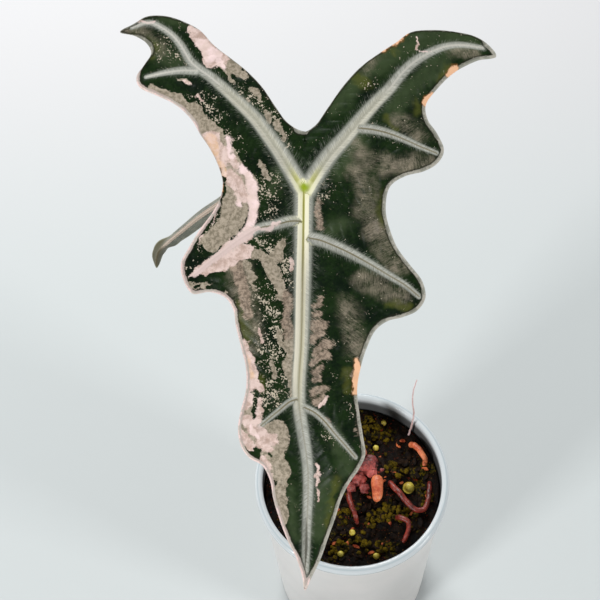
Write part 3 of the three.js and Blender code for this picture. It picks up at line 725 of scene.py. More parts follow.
def vein_fields(places, veins):
    """For each place the numbers of its nearest vein, and the height of the ribs below."""
    best = np.full(len(places), 1e9)
    out = {name: np.zeros(len(places)) for name in ("along", "across", "cream", "line", "rib")}
    for offset, vein in enumerate(veins.values()):
        path = smooth_path(vein["path"], 1.0)
        distance, where, side, length = along_path(places, path)
        share = where / length
        band = between(vein["band"], share)
        near = distance / band < best
        best[near] = (distance / band)[near]
        out["along"][near] = where[near] + VEIN_STEP * offset
        out["across"][near] = (vein.get("side", 1) * side * distance)[near]
        out["line"][near] = between(vein["line"], ease(share, 0.4, 0.6))[near]
        out["cream"][near] = between(vein["cream"], ease(share, 0.45, 0.62))[near]
        height = between(vein["rib"], share)
        width = between(vein["width"], share)
        out["rib"] = np.maximum(out["rib"], height * np.clip(1 - (distance / width) ** 2, 0, 1))
    out["share"] = best
    return out


print("the skin reads:", ", ".join(FOR_SKIN))

# %% [markdown]
# A Solidify modifier closes the sheet and gives the lower face a material of its own. It
# knows only one thickness, though, and a leaf is thinner at its margin and thicker along its
# veins, which stand out below. So the lower face is placed anew once the modifier has made
# it, as far under the upper one as the leaf is thick there.


# %% A closed blade
SMOOTH_UNDER = 55


def face_normals(places, faces):
    """Each vertex's normal, from the triangles round it."""
    tri = np.array([f[:3] for f in faces])
    cross = np.cross(places[tri[:, 1]] - places[tri[:, 0]], places[tri[:, 2]] - places[tri[:, 0]])
    total = np.zeros_like(places)
    for k in range(3):
        np.add.at(total, tri[:, k], cross)
    return total / np.linalg.norm(total, axis=1, keepdims=True)


def blade_object(name, faces, upper, rib, to_margin, thickness, fields, materials):
    """A closed blade: the upper face as given, the lower one a leaf's thickness under it."""
    normals = face_normals(upper, faces)
    obj = mesh_object(name, upper, faces, materials)
    for field_name, values in fields.items():
        give_field(obj, field_name, values)
    select_only(obj)
    bpy.ops.object.modifier_add(type="SOLIDIFY")
    solidify = obj.modifiers[-1]
    solidify.thickness = thickness * MM
    solidify.offset = -1
    solidify.material_offset = 1
    bpy.ops.object.modifier_apply(modifier=solidify.name)
    depth = thickness * (0.45 + 0.55 * ease(to_margin, 0, 3)) + rib
    lower = upper - normals * depth[:, None]
    count = len(upper)
    assert len(obj.data.vertices) == 2 * count
    obj.data.vertices.foreach_set("co", (np.vstack([upper, lower]) * MM).astype(np.float32).ravel())
    obj.data.update()
    bpy.ops.object.shade_smooth_by_angle(angle=math.radians(SMOOTH_UNDER))
    print(name, len(obj.data.polygons), "faces")
    return obj


print("edges under", SMOOTH_UNDER, "degrees are shaded smooth")

# %% [markdown]
# The relief repeats the solid's: the halves rise from the midrib, the skin swells between the
# veins, the tip and horns bend down and the margin curls. Finer folds are added on top: the
# veins lie in soft grooves, the midrib has its two ridges, and slanting side nerves run from
# the veins to the margin. A bump could draw them as well, but only a real fold catches the
# light at the blade's edge.


# %% Relief of the large blade
BLADE_AT = np.array([-15.5, 53.3, 302.8])
BLADE_THICKNESS = 0.8
blade_turn = np.array(look.to_3x3())


def big_relief(flat, to_vein, to_margin):
    """The large form, by the rule that bent the solid."""
    x, y = flat[:, 0], flat[:, 1]
    lift = 0.09 * np.abs(x) - 0.0006 * x**2
    below = np.maximum(-y, 0) / 160
    above = np.maximum(y, 0) / 70
    arch = -9 * below**2.2 - 7 * above**2
    swell = 1.3 * ease(to_vein, 0, 10)
    curl = -1.6 * (1 - ease(to_margin, 0, 9))
    wave = 1.5 * np.sin(y / 9 + np.sign(x)) * (1 - ease(to_margin, 0, 20))
    return lift + arch + swell + curl + wave


def fine_relief(flat, veins, to_vein, to_margin):
    """Ridges, grooves, side nerves and puckers, too fine for the solid."""
    spread = 1.35 + 0.35 * ease(veins["along"], 15, 45)
    ridge = veins["cream"] * 0.4 * np.exp(-((np.abs(veins["across"]) - spread) / 0.8) ** 2)
    groove = -0.6 * np.exp(-(to_vein / 1.6) ** 2)
    nerve_phase = (veins["along"] + 0.75 * np.abs(veins["across"])) / 4.6
    nerves = -0.4 * np.exp(-(np.sin(nerve_phase * math.pi) / 0.35) ** 2)
    nerves = nerves * ease(to_vein, 2, 5) * ease(to_margin, 0.5, 4)
    pucker = np.array([noise.noise(Vector((p[0] / 5, p[1] / 5, 3.0))) for p in flat])
    pucker = pucker * 0.6 * ease(to_vein, 2, 8)
    return ridge + groove + nerves + pucker


print("the blade leans", LOOK_TILT, "degrees and is", BLADE_THICKNESS, "mm thick")

# %% [markdown]
# All that the skin will read is worked out on the flat drawing, before the sheet is bent:
# the strokes, the stretches where the rim is pink or thin, and the junction where the veins
# meet. Towards the junction the cream grows stronger and the skin turns yellow, but the
# cream is held back between the veins, where it would spread over the dark skin.


# %% Fields and making of the large blade
BIG_PITCH = 0.75
JUNCTION = (0.3, 1.2)
THIN_RIMS = [
    LEFT_HORN[:11],
    RIGHT_HORN[12:],
    [(-73.6, 63), (-68, 59), (-64.5, 55), (-63.6, 50)],
    [(-38, 24), (-34, 13), (-32, 5), (-32.4, -1)],
]


def big_fields(flat, veins, to_margin):
    """Every number that the leaf skin reads."""
    fields = {name: veins[name] for name in FOR_SKIN}
    fields["margin"] = to_margin
    ragged = warped(flat)
    for name, strokes in STROKES.items():
        fields[name] = painted(ragged, strokes, SOFT_EDGE if name in TINTS_AND_PAINTED_LIGHT else CRISP_EDGE)
    rim = smooth_path(LEFT_HORN[15:] + LEFT_SIDE + TIP, 2)
    fields["pink_rim"] = ease(along_path(flat, rim)[0], 3.4, 2.2)
    thin = [ease(along_path(flat, edge)[0], 5, 2.5) for edge in THIN_RIMS]
    fields["thin_rim"] = np.max(thin, axis=0)
    junction = np.hypot(flat[:, 0] - JUNCTION[0], flat[:, 1] - JUNCTION[1])
    fields["junction"] = ease(junction, 2.9, 0.6)
    fields["cream"] = np.maximum(fields["cream"], 0.85 * ease(junction, 17, 3))
    fields["cream"] *= 1 - ease(junction, 14, 7) * ease(veins["share"], 0.5, 0.72)
    reach = 40 - 24 * ease(flat[:, 1], -6, 8)
    fields["yellowing"] = ease(junction, reach, 2)
    return fields


def big_blade(materials):
    """The large blade, bent, leaned and set in its place."""
    flat, faces, loop = flat_net(BIG_MARGIN, BIG_PITCH)
    veins = vein_fields(flat, BIG_VEINS)
    paths = [smooth_path(vein["path"], 1.0) for vein in BIG_VEINS.values()]
    to_vein = np.min([along_path(flat, path)[0] for path in paths], axis=0)
    to_margin = along_path(flat, np.vstack([loop, loop[:1]]))[0]
    height = big_relief(flat, to_vein, to_margin) + fine_relief(flat, veins, to_vein, to_margin)
    upper = np.column_stack([flat, height]) @ blade_turn.T + BLADE_AT
    fields = big_fields(flat, veins, to_margin)
    rib = veins["rib"]
    return blade_object(
        "blade_large", faces, upper, rib, to_margin, BLADE_THICKNESS, fields, materials
    )


print("thin stretches of rim:", len(THIN_RIMS))

# %% [markdown]
# ## Leaf skin
# The upper skin is built in layers from the green up: painted light that greys the green, a
# painted brown-grey sheen and olive tints, loose specks, then the beige, fawn, pink and white
# patches with mottled edges, then the silver veins with their feathered edges, and last the
# pale rim and the scorched spots. The feathers and the streaks are noise in coordinates that
# run along and across the nearest vein, so they always point away from it.


# %% Patches and noise that follow the veins
def vein_place(tree, along_scale, across_scale, slant=0.6):
    """A noise coordinate that follows the nearest vein, for hairs that lean outward."""
    across = field(tree, "across")
    gap = calc(tree, "ABSOLUTE", across)
    along = calc(tree, "SUBTRACT", field(tree, "along"), times(tree, gap, slant))
    return combine(tree, times(tree, along, along_scale), times(tree, across, across_scale))


def patch(tree, name, place, raggedness, softness):
    """A painted patch with its edge torn by the mottle group."""
    fields = dict(Field=field(tree, name), Place=place, Raggedness=raggedness, Softness=softness)
    return use_group(tree, mottle, **fields)["Mask"]


torn = [name for name in (*PALE, *MARKS) if name != "fawn"]
print("patches with a torn edge:", ", ".join(torn))

# %% [markdown]
# The living green is nearly black and nowhere even: olive at the thin places, with painted
# light that greys it towards the horns and a painted sheen of fine pale streaks where the skin
# swells between the veins and catches the light. A gradient alone would look airbrushed, so
# each tint and each painted light is a soft field stirred with noise.

# %% Green ground and sheen
GREENS = colour(4, 19, 6), colour(24, 43, 14)
PAINTED_LIT_GREEN = colour(64, 78, 50)
OLIVE = colour(84, 88, 36)
PAINTED_SHEENS = colour(104, 106, 82), colour(184, 168, 150)


def green_ground(tree, place):
    """Nearly black green with painted light that makes it lighter and greyer towards the horns, and olive
    near the thin places.
    """
    ground = use_group(tree, living_grain, Dark=GREENS[0], Light=GREENS[1], Place=place)["Color"]
    stir = centred(tree, grain(tree, place, 200, 4, 0.65))
    # painted light: the green turns lighter and greyer where the lit field is high
    painted_lit_share = fade(tree, calc(tree, "ADD", field(tree, "painted_lit_green"), stir), 0.2, 1.3, 0, 0.75)
    ground = mix(tree, painted_lit_share, ground, PAINTED_LIT_GREEN)
    stir = centred(tree, grain(tree, place, 260, 4, 0.6))
    olive = fade(tree, calc(tree, "ADD", field(tree, "olive"), stir), 0.25, 1.0)
    return mix(tree, times(tree, olive, 0.65), ground, OLIVE)


def painted_sheen_streaks(tree, place, skin):
    """A painted sheen: soft pale clouds of fine streaks that stand for light caught where the skin is
    raised between the veins.
    """
    streaks = grain(tree, vein_place(tree, 1.9, 0.3), 1.0, 4, 0.75, 0.6)
    clouds = grain(tree, place, 170, 4, 0.6, 0.4)
    fine = grain(tree, place, 1700, 2, 0.6)
    cloudy = times(tree, fade(tree, clouds, 0.34, 0.66), 0.55)
    streaky = times(tree, fade(tree, streaks, 0.36, 0.7), 0.6)
    level = calc(tree, "ADD", cloudy, streaky)
    level = calc(tree, "ADD", level, centred(tree, fine, 0.8), clamp=True)
    amount = times(tree, fade(tree, field(tree, "sheen"), 0.05, 0.95), level, 0.7)
    amount = times(tree, amount, fade(tree, field(tree, "olive"), 0.2, 0.9, 1.0, 0.3))
    return mix(tree, amount, skin, mix(tree, clouds, *PAINTED_SHEENS))


print("deepest green, in linear light:", [round(c, 4) for c in GREENS[0][:3]])

# %% [markdown]
# Where the leaf lacks its green, the colours lie over each other: beige at the edges, then
# fawn flags between the side nerves, pink, white and a little peach. Each goes over the one
# before, as layers of paint do, so an edge never shows a gap. One mixed gradient through all
# the colours would turn the hard borders of variegation into a blur.

# %% Patches over the green
SPECKS = colour(192, 180, 160)
BEIGES = colour(130, 121, 103), colour(176, 163, 145)
FAWNS = colour(118, 104, 90), colour(176, 156, 138)
PINKS = colour(190, 164, 151), colour(228, 204, 195)
WHITES = colour(250, 224, 221), colour(228, 204, 194)
PEACHES = colour(226, 186, 146), colour(238, 206, 188)


def toned(tree, noise_value, tones):
    """A colour that wanders between two tones with a noise."""
    return mix(tree, fade(tree, noise_value, 0.36, 0.62), *tones)


def loose_specks(tree, place):
    """Crumbs of pale skin, crowded in islands and where the speckled field is high."""
    crumbs = grain(tree, place, 1350, 3, 0.55)
    islands = grain(tree, place, 330, 2, 0.5)
    crowd = calc(tree, "ADD", crumbs, times(tree, islands, 0.55))
    crowd = calc(tree, "ADD", crowd, times(tree, field(tree, "speckled"), 0.17))
    return fade(tree, crowd, 1.0, 1.04)


def variegated(tree, place, green):
    """The patchwork of colours over the green ground, with its pink and its pale masks."""
    # the painted sheen goes on first, over the green
    skin = painted_sheen_streaks(tree, place, green)
    broad = grain(tree, place, 160, 3, 0.6)
    fine = grain(tree, place, 700, 3, 0.7)
    skin = mix(tree, loose_specks(tree, place), skin, SPECKS)
    beige = patch(tree, "beige", place, 1.7, 0.07)
    skin = mix(tree, beige, skin, toned(tree, fine, BEIGES))
    flags = grain(tree, vein_place(tree, 2.0, 0.3, 0.5), 1.0, 3, 0.65)
    fawn_edge = calc(tree, "ADD", field(tree, "fawn"), centred(tree, flags, 1.9))
    fawn = times(tree, fade(tree, fawn_edge, 0.25, 0.72), 0.88)
    skin = mix(tree, fawn, skin, toned(tree, fine, FAWNS))
    pink = patch(tree, "pink", place, 1.5, 0.12)
    skin = mix(tree, pink, skin, toned(tree, grain(tree, place, 330, 4, 0.7), PINKS))
    white = patch(tree, "white", place, 1.2, 0.25)
    skin = mix(tree, white, skin, toned(tree, broad, WHITES))
    peach = times(tree, patch(tree, "peach", place, 1.3, 0.3), 0.75)
    skin = mix(tree, peach, skin, toned(tree, grain(tree, place, 420, 4, 0.7), PEACHES))
    skin = mix(tree, patch(tree, "bare_green", place, 1.4, 0.07), skin, green)
    blush = calc(tree, "MAXIMUM", pink, white)
    return skin, blush, calc(tree, "MAXIMUM", beige, blush)


print("patch colours: beige, fawn, pink, white, peach, each from", len(BEIGES), "tones")

# %% [markdown]
# The veins are silver bands whose edges feather out into the green, because the pale cells
# along a vein thin out and don't stop at a line. The share field is 1 on a band's edge, and
# hairs of noise push it in and out. Over the pink half the silver turns pink.

# %% Silver bands
WISP = colour(162, 164, 152)
SILVERS = colour(140, 143, 133), colour(172, 172, 163)
SILVER_LIGHT = colour(206, 206, 196)
SILVER_SHADE = colour(112, 112, 98)
SILVER_PINK = colour(234, 208, 202)


def silver_bands(tree, skin, pink):
    """Silver bands with feathered edges and wisps beyond them; also gives the bands' mask."""
    hairs = grain(tree, vein_place(tree, 2.2, 0.26), 1.0, 4, 0.75)
    share = field(tree, "share")
    wisps = times(tree, fade(tree, hairs, 0.5, 0.62), fade(tree, share, 2.0, 0.9), 0.5)
    skin = mix(tree, wisps, skin, WISP)
    band = fade(tree, calc(tree, "ADD", share, centred(tree, hairs, 1.6)), 1.12, 0.7)
    silver = mix(tree, fade(tree, share, 1.0, 0.15), *SILVERS)
    silver = mix(tree, fade(tree, hairs, 0.46, 0.66, 0, 0.75), silver, SILVER_LIGHT)
    silver = mix(tree, fade(tree, hairs, 0.5, 0.34, 0, 0.6), silver, SILVER_SHADE)
    silver = mix(tree, times(tree, pink, 0.8), silver, SILVER_PINK)
    return mix(tree, times(tree, band, 0.94), skin, silver), band


print("silver, edge and middle:", [round(tone[1], 3) for tone in SILVERS])

# %% [markdown]
# Along the middle of the strong veins run two cream ridges with an olive groove between
# them, and all turns yellow-green where the veins meet. Weaker veins show a dark line or a
# thin pale core instead. The distance across the vein draws each of them, so that they stay
# thin and exact where a painted stroke would wobble.

# %% Ridges, groove and junction
MIDDLES = colour(196, 191, 164), colour(190, 190, 96)
RIDGES = colour(226, 220, 200), colour(242, 238, 208)
GROOVES = colour(140, 130, 88), colour(188, 188, 76)
KNOT = colour(234, 231, 190)
CORE = colour(226, 222, 212)
DARK_LINE = colour(108, 98, 62)
JUNCTION_GREEN = colour(148, 168, 34)


def ridge(tree, how, across, spread, far, near):
    """A thin strip that lies spread mm to one side of the vein's middle."""
    aside = calc(tree, "ABSOLUTE", calc(tree, how, across, spread))
    return times(tree, fade(tree, aside, far, near), field(tree, "cream"))


def cream_ridges(tree, skin, band, pink):
    """The two ridges and their groove, a line or a core on weaker veins, and the junction."""
    share, across, cream = (field(tree, name) for name in ("share", "across", "cream"))
    along, yellowing = field(tree, "along"), field(tree, "yellowing")
    gap = calc(tree, "ABSOLUTE", across)
    spread = fade(tree, along, 15, 45, 1.35, 1.7)
    left = ridge(tree, "ADD", across, spread, 1.15, 0.7)
    right = ridge(tree, "SUBTRACT", across, spread, 1.05, 0.65)
    right = times(tree, right, fade(tree, along, 46, 20, 0.25, 1.0))
    middle = times(tree, fade(tree, gap, 1.7, 0.9), cream, band)
    skin = mix(tree, times(tree, middle, 0.85), skin, mix(tree, yellowing, *MIDDLES))
    ridges = times(tree, calc(tree, "MAXIMUM", left, right), fade(tree, share, 1.0, 0.6))
    skin = mix(tree, ridges, skin, mix(tree, yellowing, *RIDGES))
    knot = times(tree, fade(tree, yellowing, 0.965, 1.0), fade(tree, share, 0.9, 0.3), 0.55)
    skin = mix(tree, knot, skin, KNOT)
    groove = times(tree, fade(tree, gap, 0.6, 0.15), cream, fade(tree, share, 0.6, 0.4))
    groove = times(tree, groove, fade(tree, along, 50, 25, 0.15, 0.6))
    skin = mix(tree, groove, skin, mix(tree, yellowing, *GROOVES))
    core = times(tree, fade(tree, gap, 0.6, 0.15), fade(tree, share, 0.5, 0.25))
    core = times(tree, core, fade(tree, cream, 0.4, 0.1))
    core = times(tree, core, fade(tree, field(tree, "line"), 0.3, 0.12), 0.55)
    skin = mix(tree, core, skin, CORE)
    line = times(tree, fade(tree, gap, 0.5, 0.12), fade(tree, share, 0.5, 0.3))
    line = times(tree, line, field(tree, "line"), fade(tree, pink, 0.0, 1.0, 1.0, 0.12))
    skin = mix(tree, times(tree, line, 0.8), skin, DARK_LINE)
    junction = times(tree, field(tree, "junction"), fade(tree, gap, 2.6, 0.6))
    return mix(tree, junction, skin, JUNCTION_GREEN)


print("the ridges stand", 2 * 1.35, "mm apart at the top and", 2 * 1.7, "mm further down")

# %% [markdown]
# The rim is a hard, pale edge about one millimetre wide, with a dark line inside it, and
# dried spots break it up here and there. It is drawn by the distance from the margin, with
# noise added so that it crumbles. Over all lies a faint relief of cells and wrinkles, which
# breaks up the shine as a real leaf's skin does.


# %% Rim and the whole upper skin
RIMS = colour(150, 150, 139), colour(236, 210, 204)
RIM_SHADE = colour(98, 96, 84)
RIM_LIGHT = colour(190, 184, 172)
INNER_LINE = colour(34, 34, 24)
SCORCHED = colour(128, 84, 34)
SCORCHED_LIGHT = colour(236, 186, 148)


def rimmed(tree, place, skin, pale):
    """The skin with its pale rim, the dark line inside the rim and the scorched spots."""
    coarse, fine = grain(tree, place, 260, 2), grain(tree, place, 1200, 2)
    crumble = calc(tree, "ADD", coarse, times(tree, fine, 0.6))
    ragged = centred(tree, calc(tree, "SUBTRACT", crumble, 0.3), 1.1)
    margin = calc(tree, "ADD", field(tree, "margin"), ragged)
    margin = calc(tree, "ADD", margin, times(tree, field(tree, "thin_rim"), 1.15))
    beside = calc(tree, "ABSOLUTE", calc(tree, "SUBTRACT", margin, 1.6))
    inner_line = times(tree, fade(tree, beside, 0.5, 0.1), 0.7)
    inner_line = times(tree, inner_line, fade(tree, pale, 0, 1, 1.0, 0.15))
    skin = mix(tree, inner_line, skin, INNER_LINE)
    rim_tone = mix(tree, field(tree, "pink_rim"), *RIMS)
    rim_tone = mix(tree, times(tree, fade(tree, margin, 0.25, 0.8), 0.55), rim_tone, RIM_SHADE)
    rim_tone = mix(tree, fade(tree, crumble, 0.7, 0.9, 0, 0.6), rim_tone, RIM_LIGHT)
    skin = mix(tree, fade(tree, margin, 1.5, 1.1), skin, rim_tone)
    halo = times(tree, fade(tree, field(tree, "burnt"), 0.1, 0.55), 0.6)
    skin = mix(tree, halo, skin, SCORCHED)
    return mix(tree, patch(tree, "burnt", place, 0.9, 0.12), skin, SCORCHED_LIGHT)


def make_upper_skin():
    """Green ground, patches, veins and rim, with a dull shine and fine wrinkles."""
    material, tree, shader = new_material("leaf_upper")
    place = object_place(tree)
    skin, pink, pale = variegated(tree, place, green_ground(tree, place))
    skin, band = silver_bands(tree, skin, pink)
    skin = cream_ridges(tree, skin, band, pink)
    feed(tree, shader.inputs["Base Color"], rimmed(tree, place, skin, pale))
    rough = fade(tree, grain(tree, place, 300, 3), 0.3, 0.7, 0.32, 0.44)
    feed(tree, shader.inputs["Roughness"], calc(tree, "ADD", rough, times(tree, band, 0.14)))
    shader.inputs["Specular IOR Level"].default_value = 0.12
    pores = bump(tree, cells(tree, place, 2600), 0.12, 0.12)
    wrinkles = bump(tree, grain(tree, vein_place(tree, 1.4, 0.3), 1.0, 3, 0.6), 0.35, 0.35, pores)
    feed(tree, shader.inputs["Normal"], wrinkles)
    return material


leaf_upper = make_upper_skin()
print("upper skin:", len(leaf_upper.node_tree.nodes), "nodes")

# %% [markdown]
# The underside can't be seen in the photograph. Leaves of this kind are paler and duller
# there, and a patch without green shows through, so it is a simpler skin from the same
# fields. Both skins now go on the blade: the first on its upper face, the second below.


# %% Lower skin, and the large blade
def make_lower_skin():
    """Paler, duller and greyer than the upper side, with the patches showing through."""
    material, tree, shader = new_material("leaf_lower")
    place = object_place(tree)
    dark, light = colour(70, 86, 58), colour(106, 120, 88)
    skin = use_group(tree, living_grain, Dark=dark, Light=light, Place=place)["Color"]
    skin = mix(tree, times(tree, patch(tree, "beige", place, 1.2, 0.2), 0.7), skin, colour(176, 168, 148))
    skin = mix(tree, times(tree, patch(tree, "pink", place, 1.0, 0.2), 0.8), skin, colour(214, 190, 180))
    veins = times(tree, fade(tree, field(tree, "share"), 0.85, 0.3), 0.75)
    skin = mix(tree, veins, skin, colour(168, 174, 128))
    rim_tone = mix(tree, field(tree, "pink_rim"), colour(150, 152, 140), colour(230, 204, 196))
    skin = mix(tree, fade(tree, field(tree, "margin"), 1.2, 0.5), skin, rim_tone)
    feed(tree, shader.inputs["Base Color"], skin)
    shader.inputs["Roughness"].default_value = 0.55
    nerves = bump(tree, grain(tree, vein_place(tree, 1.4, 0.3), 1.0, 3, 0.6), 0.4, 0.4)
    feed(tree, shader.inputs["Normal"], nerves)
    return material


leaf_lower = make_lower_skin()
blade_large = big_blade([leaf_upper, leaf_lower])
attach(blade_large, "root")
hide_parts("leaf_blade_large")
print("large blade:", [round(1000 * side) for side in blade_large.dimensions], "mm")

# %% [markdown]
# ## The small blade
# Behind the large blade a younger leaf is still folded along its midrib, seen from its keel,
# and its last stretch hangs. It is the same kind of sheet, carried along a curved spine: each
# half drops steeply from the midrib, less so near the stalk. A flat blade bent by a Curve
# modifier would do for the spine, but not for a fold that opens along the way.

# %% Outline and spine of the small blade
SMALL_HALF = [
    (5, -63), (7.6, -59), (9, -50), (11.5, -39), (13, -26), (14, -12), (15, 0), (14.6, 9), (12, 18),
    (8, 26), (5, 29), (3.6, 24), (2.6, 15),
]
SMALL_MARGIN = [(0, -64.5)] + SMALL_HALF + [(0, 7)] + [(-x, y) for x, y in reversed(SMALL_HALF)]
SMALL_VEINS = {
    "midrib": dict(
        path=[(0, 4), (0, -30), (0, -62)],
        band=(3.6, 3.0), rib=(1.4, 0.4), width=(1.6, 1.2), cream=(0.3, 0.1), line=(0.2, 0.2),
    ),
}
SMALL_SPINE = [
    (-16, 88, 276.6), (-32.9, 86.2, 267.5), (-55.9, 80.5, 253.8), (-63.2, 79.6, 247.5),
    (-71.1, 78, 240.3), (-78.1, 76.6, 233.7), (-82.4, 76.1, 228.2), (-84.3, 75, 222.4),
    (-84.8, 73.8, 216.5),
]
SMALL_REACH = 31
SMALL_FOLD = 75
SMALL_FOLD_AT_STALK = 22
SMALL_FOLD_AT_TIP = 68
KEEL_RADIUS = 1.2
SMALL_PITCH = 0.9
SMALL_THICKNESS = 0.7
print("small outline:", len(SMALL_MARGIN), "points, spine:", len(SMALL_SPINE), "points")

# %% [markdown]
# At each step along the spine there is a small frame: forward along it, up towards the
# viewer, and sideways. A place of the flat drawing goes sideways by the cosine of the fold
# and down by its sine. The keel itself is rounded, because a leaf doesn't crease to a knife
# edge.


# %% Folding the small blade
def place_small(flat):
    """Carries flat places of the small blade onto its folded, bent form."""
    spine = smooth_path(SMALL_SPINE, 0.5)
    steps = np.linalg.norm(np.diff(spine, axis=0), axis=1)
    run = np.concatenate([[0], np.cumsum(steps)])
    tangents = np.gradient(spine, run, axis=0)
    facing = Matrix.Rotation(math.radians(LOOK_TILT), 3, "X") @ Vector((0, 0, 1))
    at = np.clip(SMALL_REACH - flat[:, 1], 0, run[-1])
    middle = np.column_stack([np.interp(at, run, spine[:, k]) for k in range(3)])
    along = np.column_stack([np.interp(at, run, tangents[:, k]) for k in range(3)])
    along /= np.linalg.norm(along, axis=1, keepdims=True)
    up = np.array(facing) - along * (along @ np.array(facing))[:, None]
    up /= np.linalg.norm(up, axis=1, keepdims=True)
    sideways = np.cross(up, along)
    opened = SMALL_FOLD + (SMALL_FOLD_AT_STALK - SMALL_FOLD) * ease(flat[:, 1], -9, 1)
    fold = np.radians(opened + (SMALL_FOLD_AT_TIP - opened) * ease(-flat[:, 1], 44, 60))
    x = flat[:, 0]
    across = np.hypot(x, KEEL_RADIUS) - KEEL_RADIUS
    return middle + sideways * (x * np.cos(fold))[:, None] - up * (across * np.sin(fold))[:, None]


print("its tip ends at", place_small(np.array([SMALL_MARGIN[0]]))[0].round(1), "mm")

# %% [markdown]
# Little of this blade is seen: a grey-green half, a pale keel and a tip that is drying
# brown. The keel is the share field again, and the browning is a field along the leaf, so
# that both follow the fold. Object coordinates would cut straight across it.


# %% Skin of the small blade
def make_small_skin():
    """Dark grey-green with a pale midrib and a browning tip."""
    material, tree, shader = new_material("leaf_small")
    place = object_place(tree)
    ground = use_group(tree, living_grain, Dark=colour(60, 64, 52), Light=colour(108, 110, 96), Place=place)
    streaks = grain(tree, vein_place(tree, 0.25, 1.6, 0), 1.0, 3, 0.6)
    skin = mix(tree, fade(tree, streaks, 0.45, 0.7, 0, 0.6), ground["Color"], colour(156, 152, 134))
    keel = fade(tree, calc(tree, "ADD", field(tree, "share"), centred(tree, streaks, 0.8)), 1.0, 0.45)
    skin = mix(tree, times(tree, keel, 0.85), skin, colour(186, 170, 156))
    skin = mix(tree, times(tree, field(tree, "browning"), 0.9), skin, colour(68, 63, 34))
    rim = times(tree, fade(tree, field(tree, "margin"), 1.1, 0.5), 0.6)
    skin = mix(tree, rim, skin, colour(140, 138, 118))
    feed(tree, shader.inputs["Base Color"], skin)
    shader.inputs["Roughness"].default_value = 0.45
    shader.inputs["Specular IOR Level"].default_value = 0.2
    feed(tree, shader.inputs["Normal"], bump(tree, ground["Height"], 0.3, 0.25))
    return material


leaf_small = make_small_skin()
print("small skin:", len(leaf_small.node_tree.nodes), "nodes")

# %% [markdown]
# The sheet is made as the large one was. Its two faces share one skin, since the photograph
# shows only the keel's side.


# %% The small blade
def small_blade(materials):
    """The small blade, folded and bent."""
    flat, faces, loop = flat_net(SMALL_MARGIN, SMALL_PITCH)
    veins = vein_fields(flat, SMALL_VEINS)
    to_margin = along_path(flat, np.vstack([loop, loop[:1]]))[0]
    fields = {name: veins[name] for name in FOR_SKIN}
    fields["margin"] = to_margin
    fields["browning"] = ease(-flat[:, 1], 46, 53)
    upper, rib = place_small(flat), veins["rib"]
    return blade_object(
        "blade_small", faces, upper, rib, to_margin, SMALL_THICKNESS, fields, materials
    )


blade_small = small_blade([leaf_small, leaf_small])
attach(blade_small, "root")
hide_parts("leaf_blade_small")
print("small blade:", [round(1000 * side) for side in blade_small.dimensions], "mm")

# %% [markdown]
# ## Stalks and roots
# A stalk or a root is a round rod that swells and thins along a bent path. A curve with a
# bevel does this well: the bevel gives it one millimetre of radius, each of its points has
# its own factor, and it is then turned into a mesh. Radii that run down to nothing round off
# its ends. A scaled cylinder could neither bend nor swell like this.


# %% Rods
def rod(name, points, radius_at, material, node, sides=6, step=1.2, wobble=0.0):
    """A rod through points in mm; radius_at gives its radius in mm from 0 to 1 along it."""
    path = smooth_path(points, step)
    curve = bpy.data.curves.new(name, "CURVE")
    curve.dimensions = "3D"
    curve.bevel_depth = MM
    curve.bevel_resolution = sides
    curve.use_fill_caps = True
    spline = curve.splines.new("POLY")
    spline.points.add(len(path) - 1)
    for i, p in enumerate(path):
        share = i / (len(path) - 1)
        shift = [wobble * noise.noise(Vector((p[0] / 3 + k * 9, p[1] / 3, p[2] / 3))) for k in range(3)]
        spline.points[i].co = (*(MM * (p + shift)), 1)
        spline.points[i].radius = max(0.04, radius_at(share))
    obj = bpy.data.objects.new(name, curve)
    bpy.context.collection.objects.link(obj)
    select_only(obj)
    bpy.ops.object.convert(target="MESH")
    obj = bpy.context.view_layer.objects.active
    bpy.ops.object.mode_set(mode="EDIT")
    bpy.ops.mesh.select_all(action="SELECT")
    bpy.ops.mesh.remove_doubles(threshold=0.00001)
    bpy.ops.mesh.normals_make_consistent(inside=False)
    bpy.ops.object.mode_set(mode="OBJECT")
    bpy.ops.object.shade_smooth()
    obj.data.materials.clear()
    obj.data.materials.append(material)
    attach(obj, "root")
    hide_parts(node)
    return obj


def swollen(base, top, foot, foot_share):
    """A stalk's radius: a broad sheath at the foot, then a slow taper."""
    return lambda t: top + (base - top) * (1 - t) + foot * max(0.0, 1 - t / foot_share) ** 1.3


def rounded(radius, thin=0.25, ends=0.06):
    """A root's radius, round at both ends."""
    def at(t):
        cap = min(1.0, min(t, 1 - t) / ends)
        return radius * (1 - thin * t) * math.sqrt(max(0.0, 1 - (1 - cap) ** 2))
    return at


print("radii of a root along its way:", [round(rounded(1.4)(k / 4), 2) for k in range(5)])

# %% [markdown]
# The stalks can't be seen in the photograph, so theirs is a likely skin: green with
# pinkish-brown flecks that stretch along them. Noise on coordinates pressed together in
# height gives such long flecks. The roots are moist and red-brown to orange, the stub is
# salmon-coloured and the fibre is pale, so they share one recipe with two colours to choose.


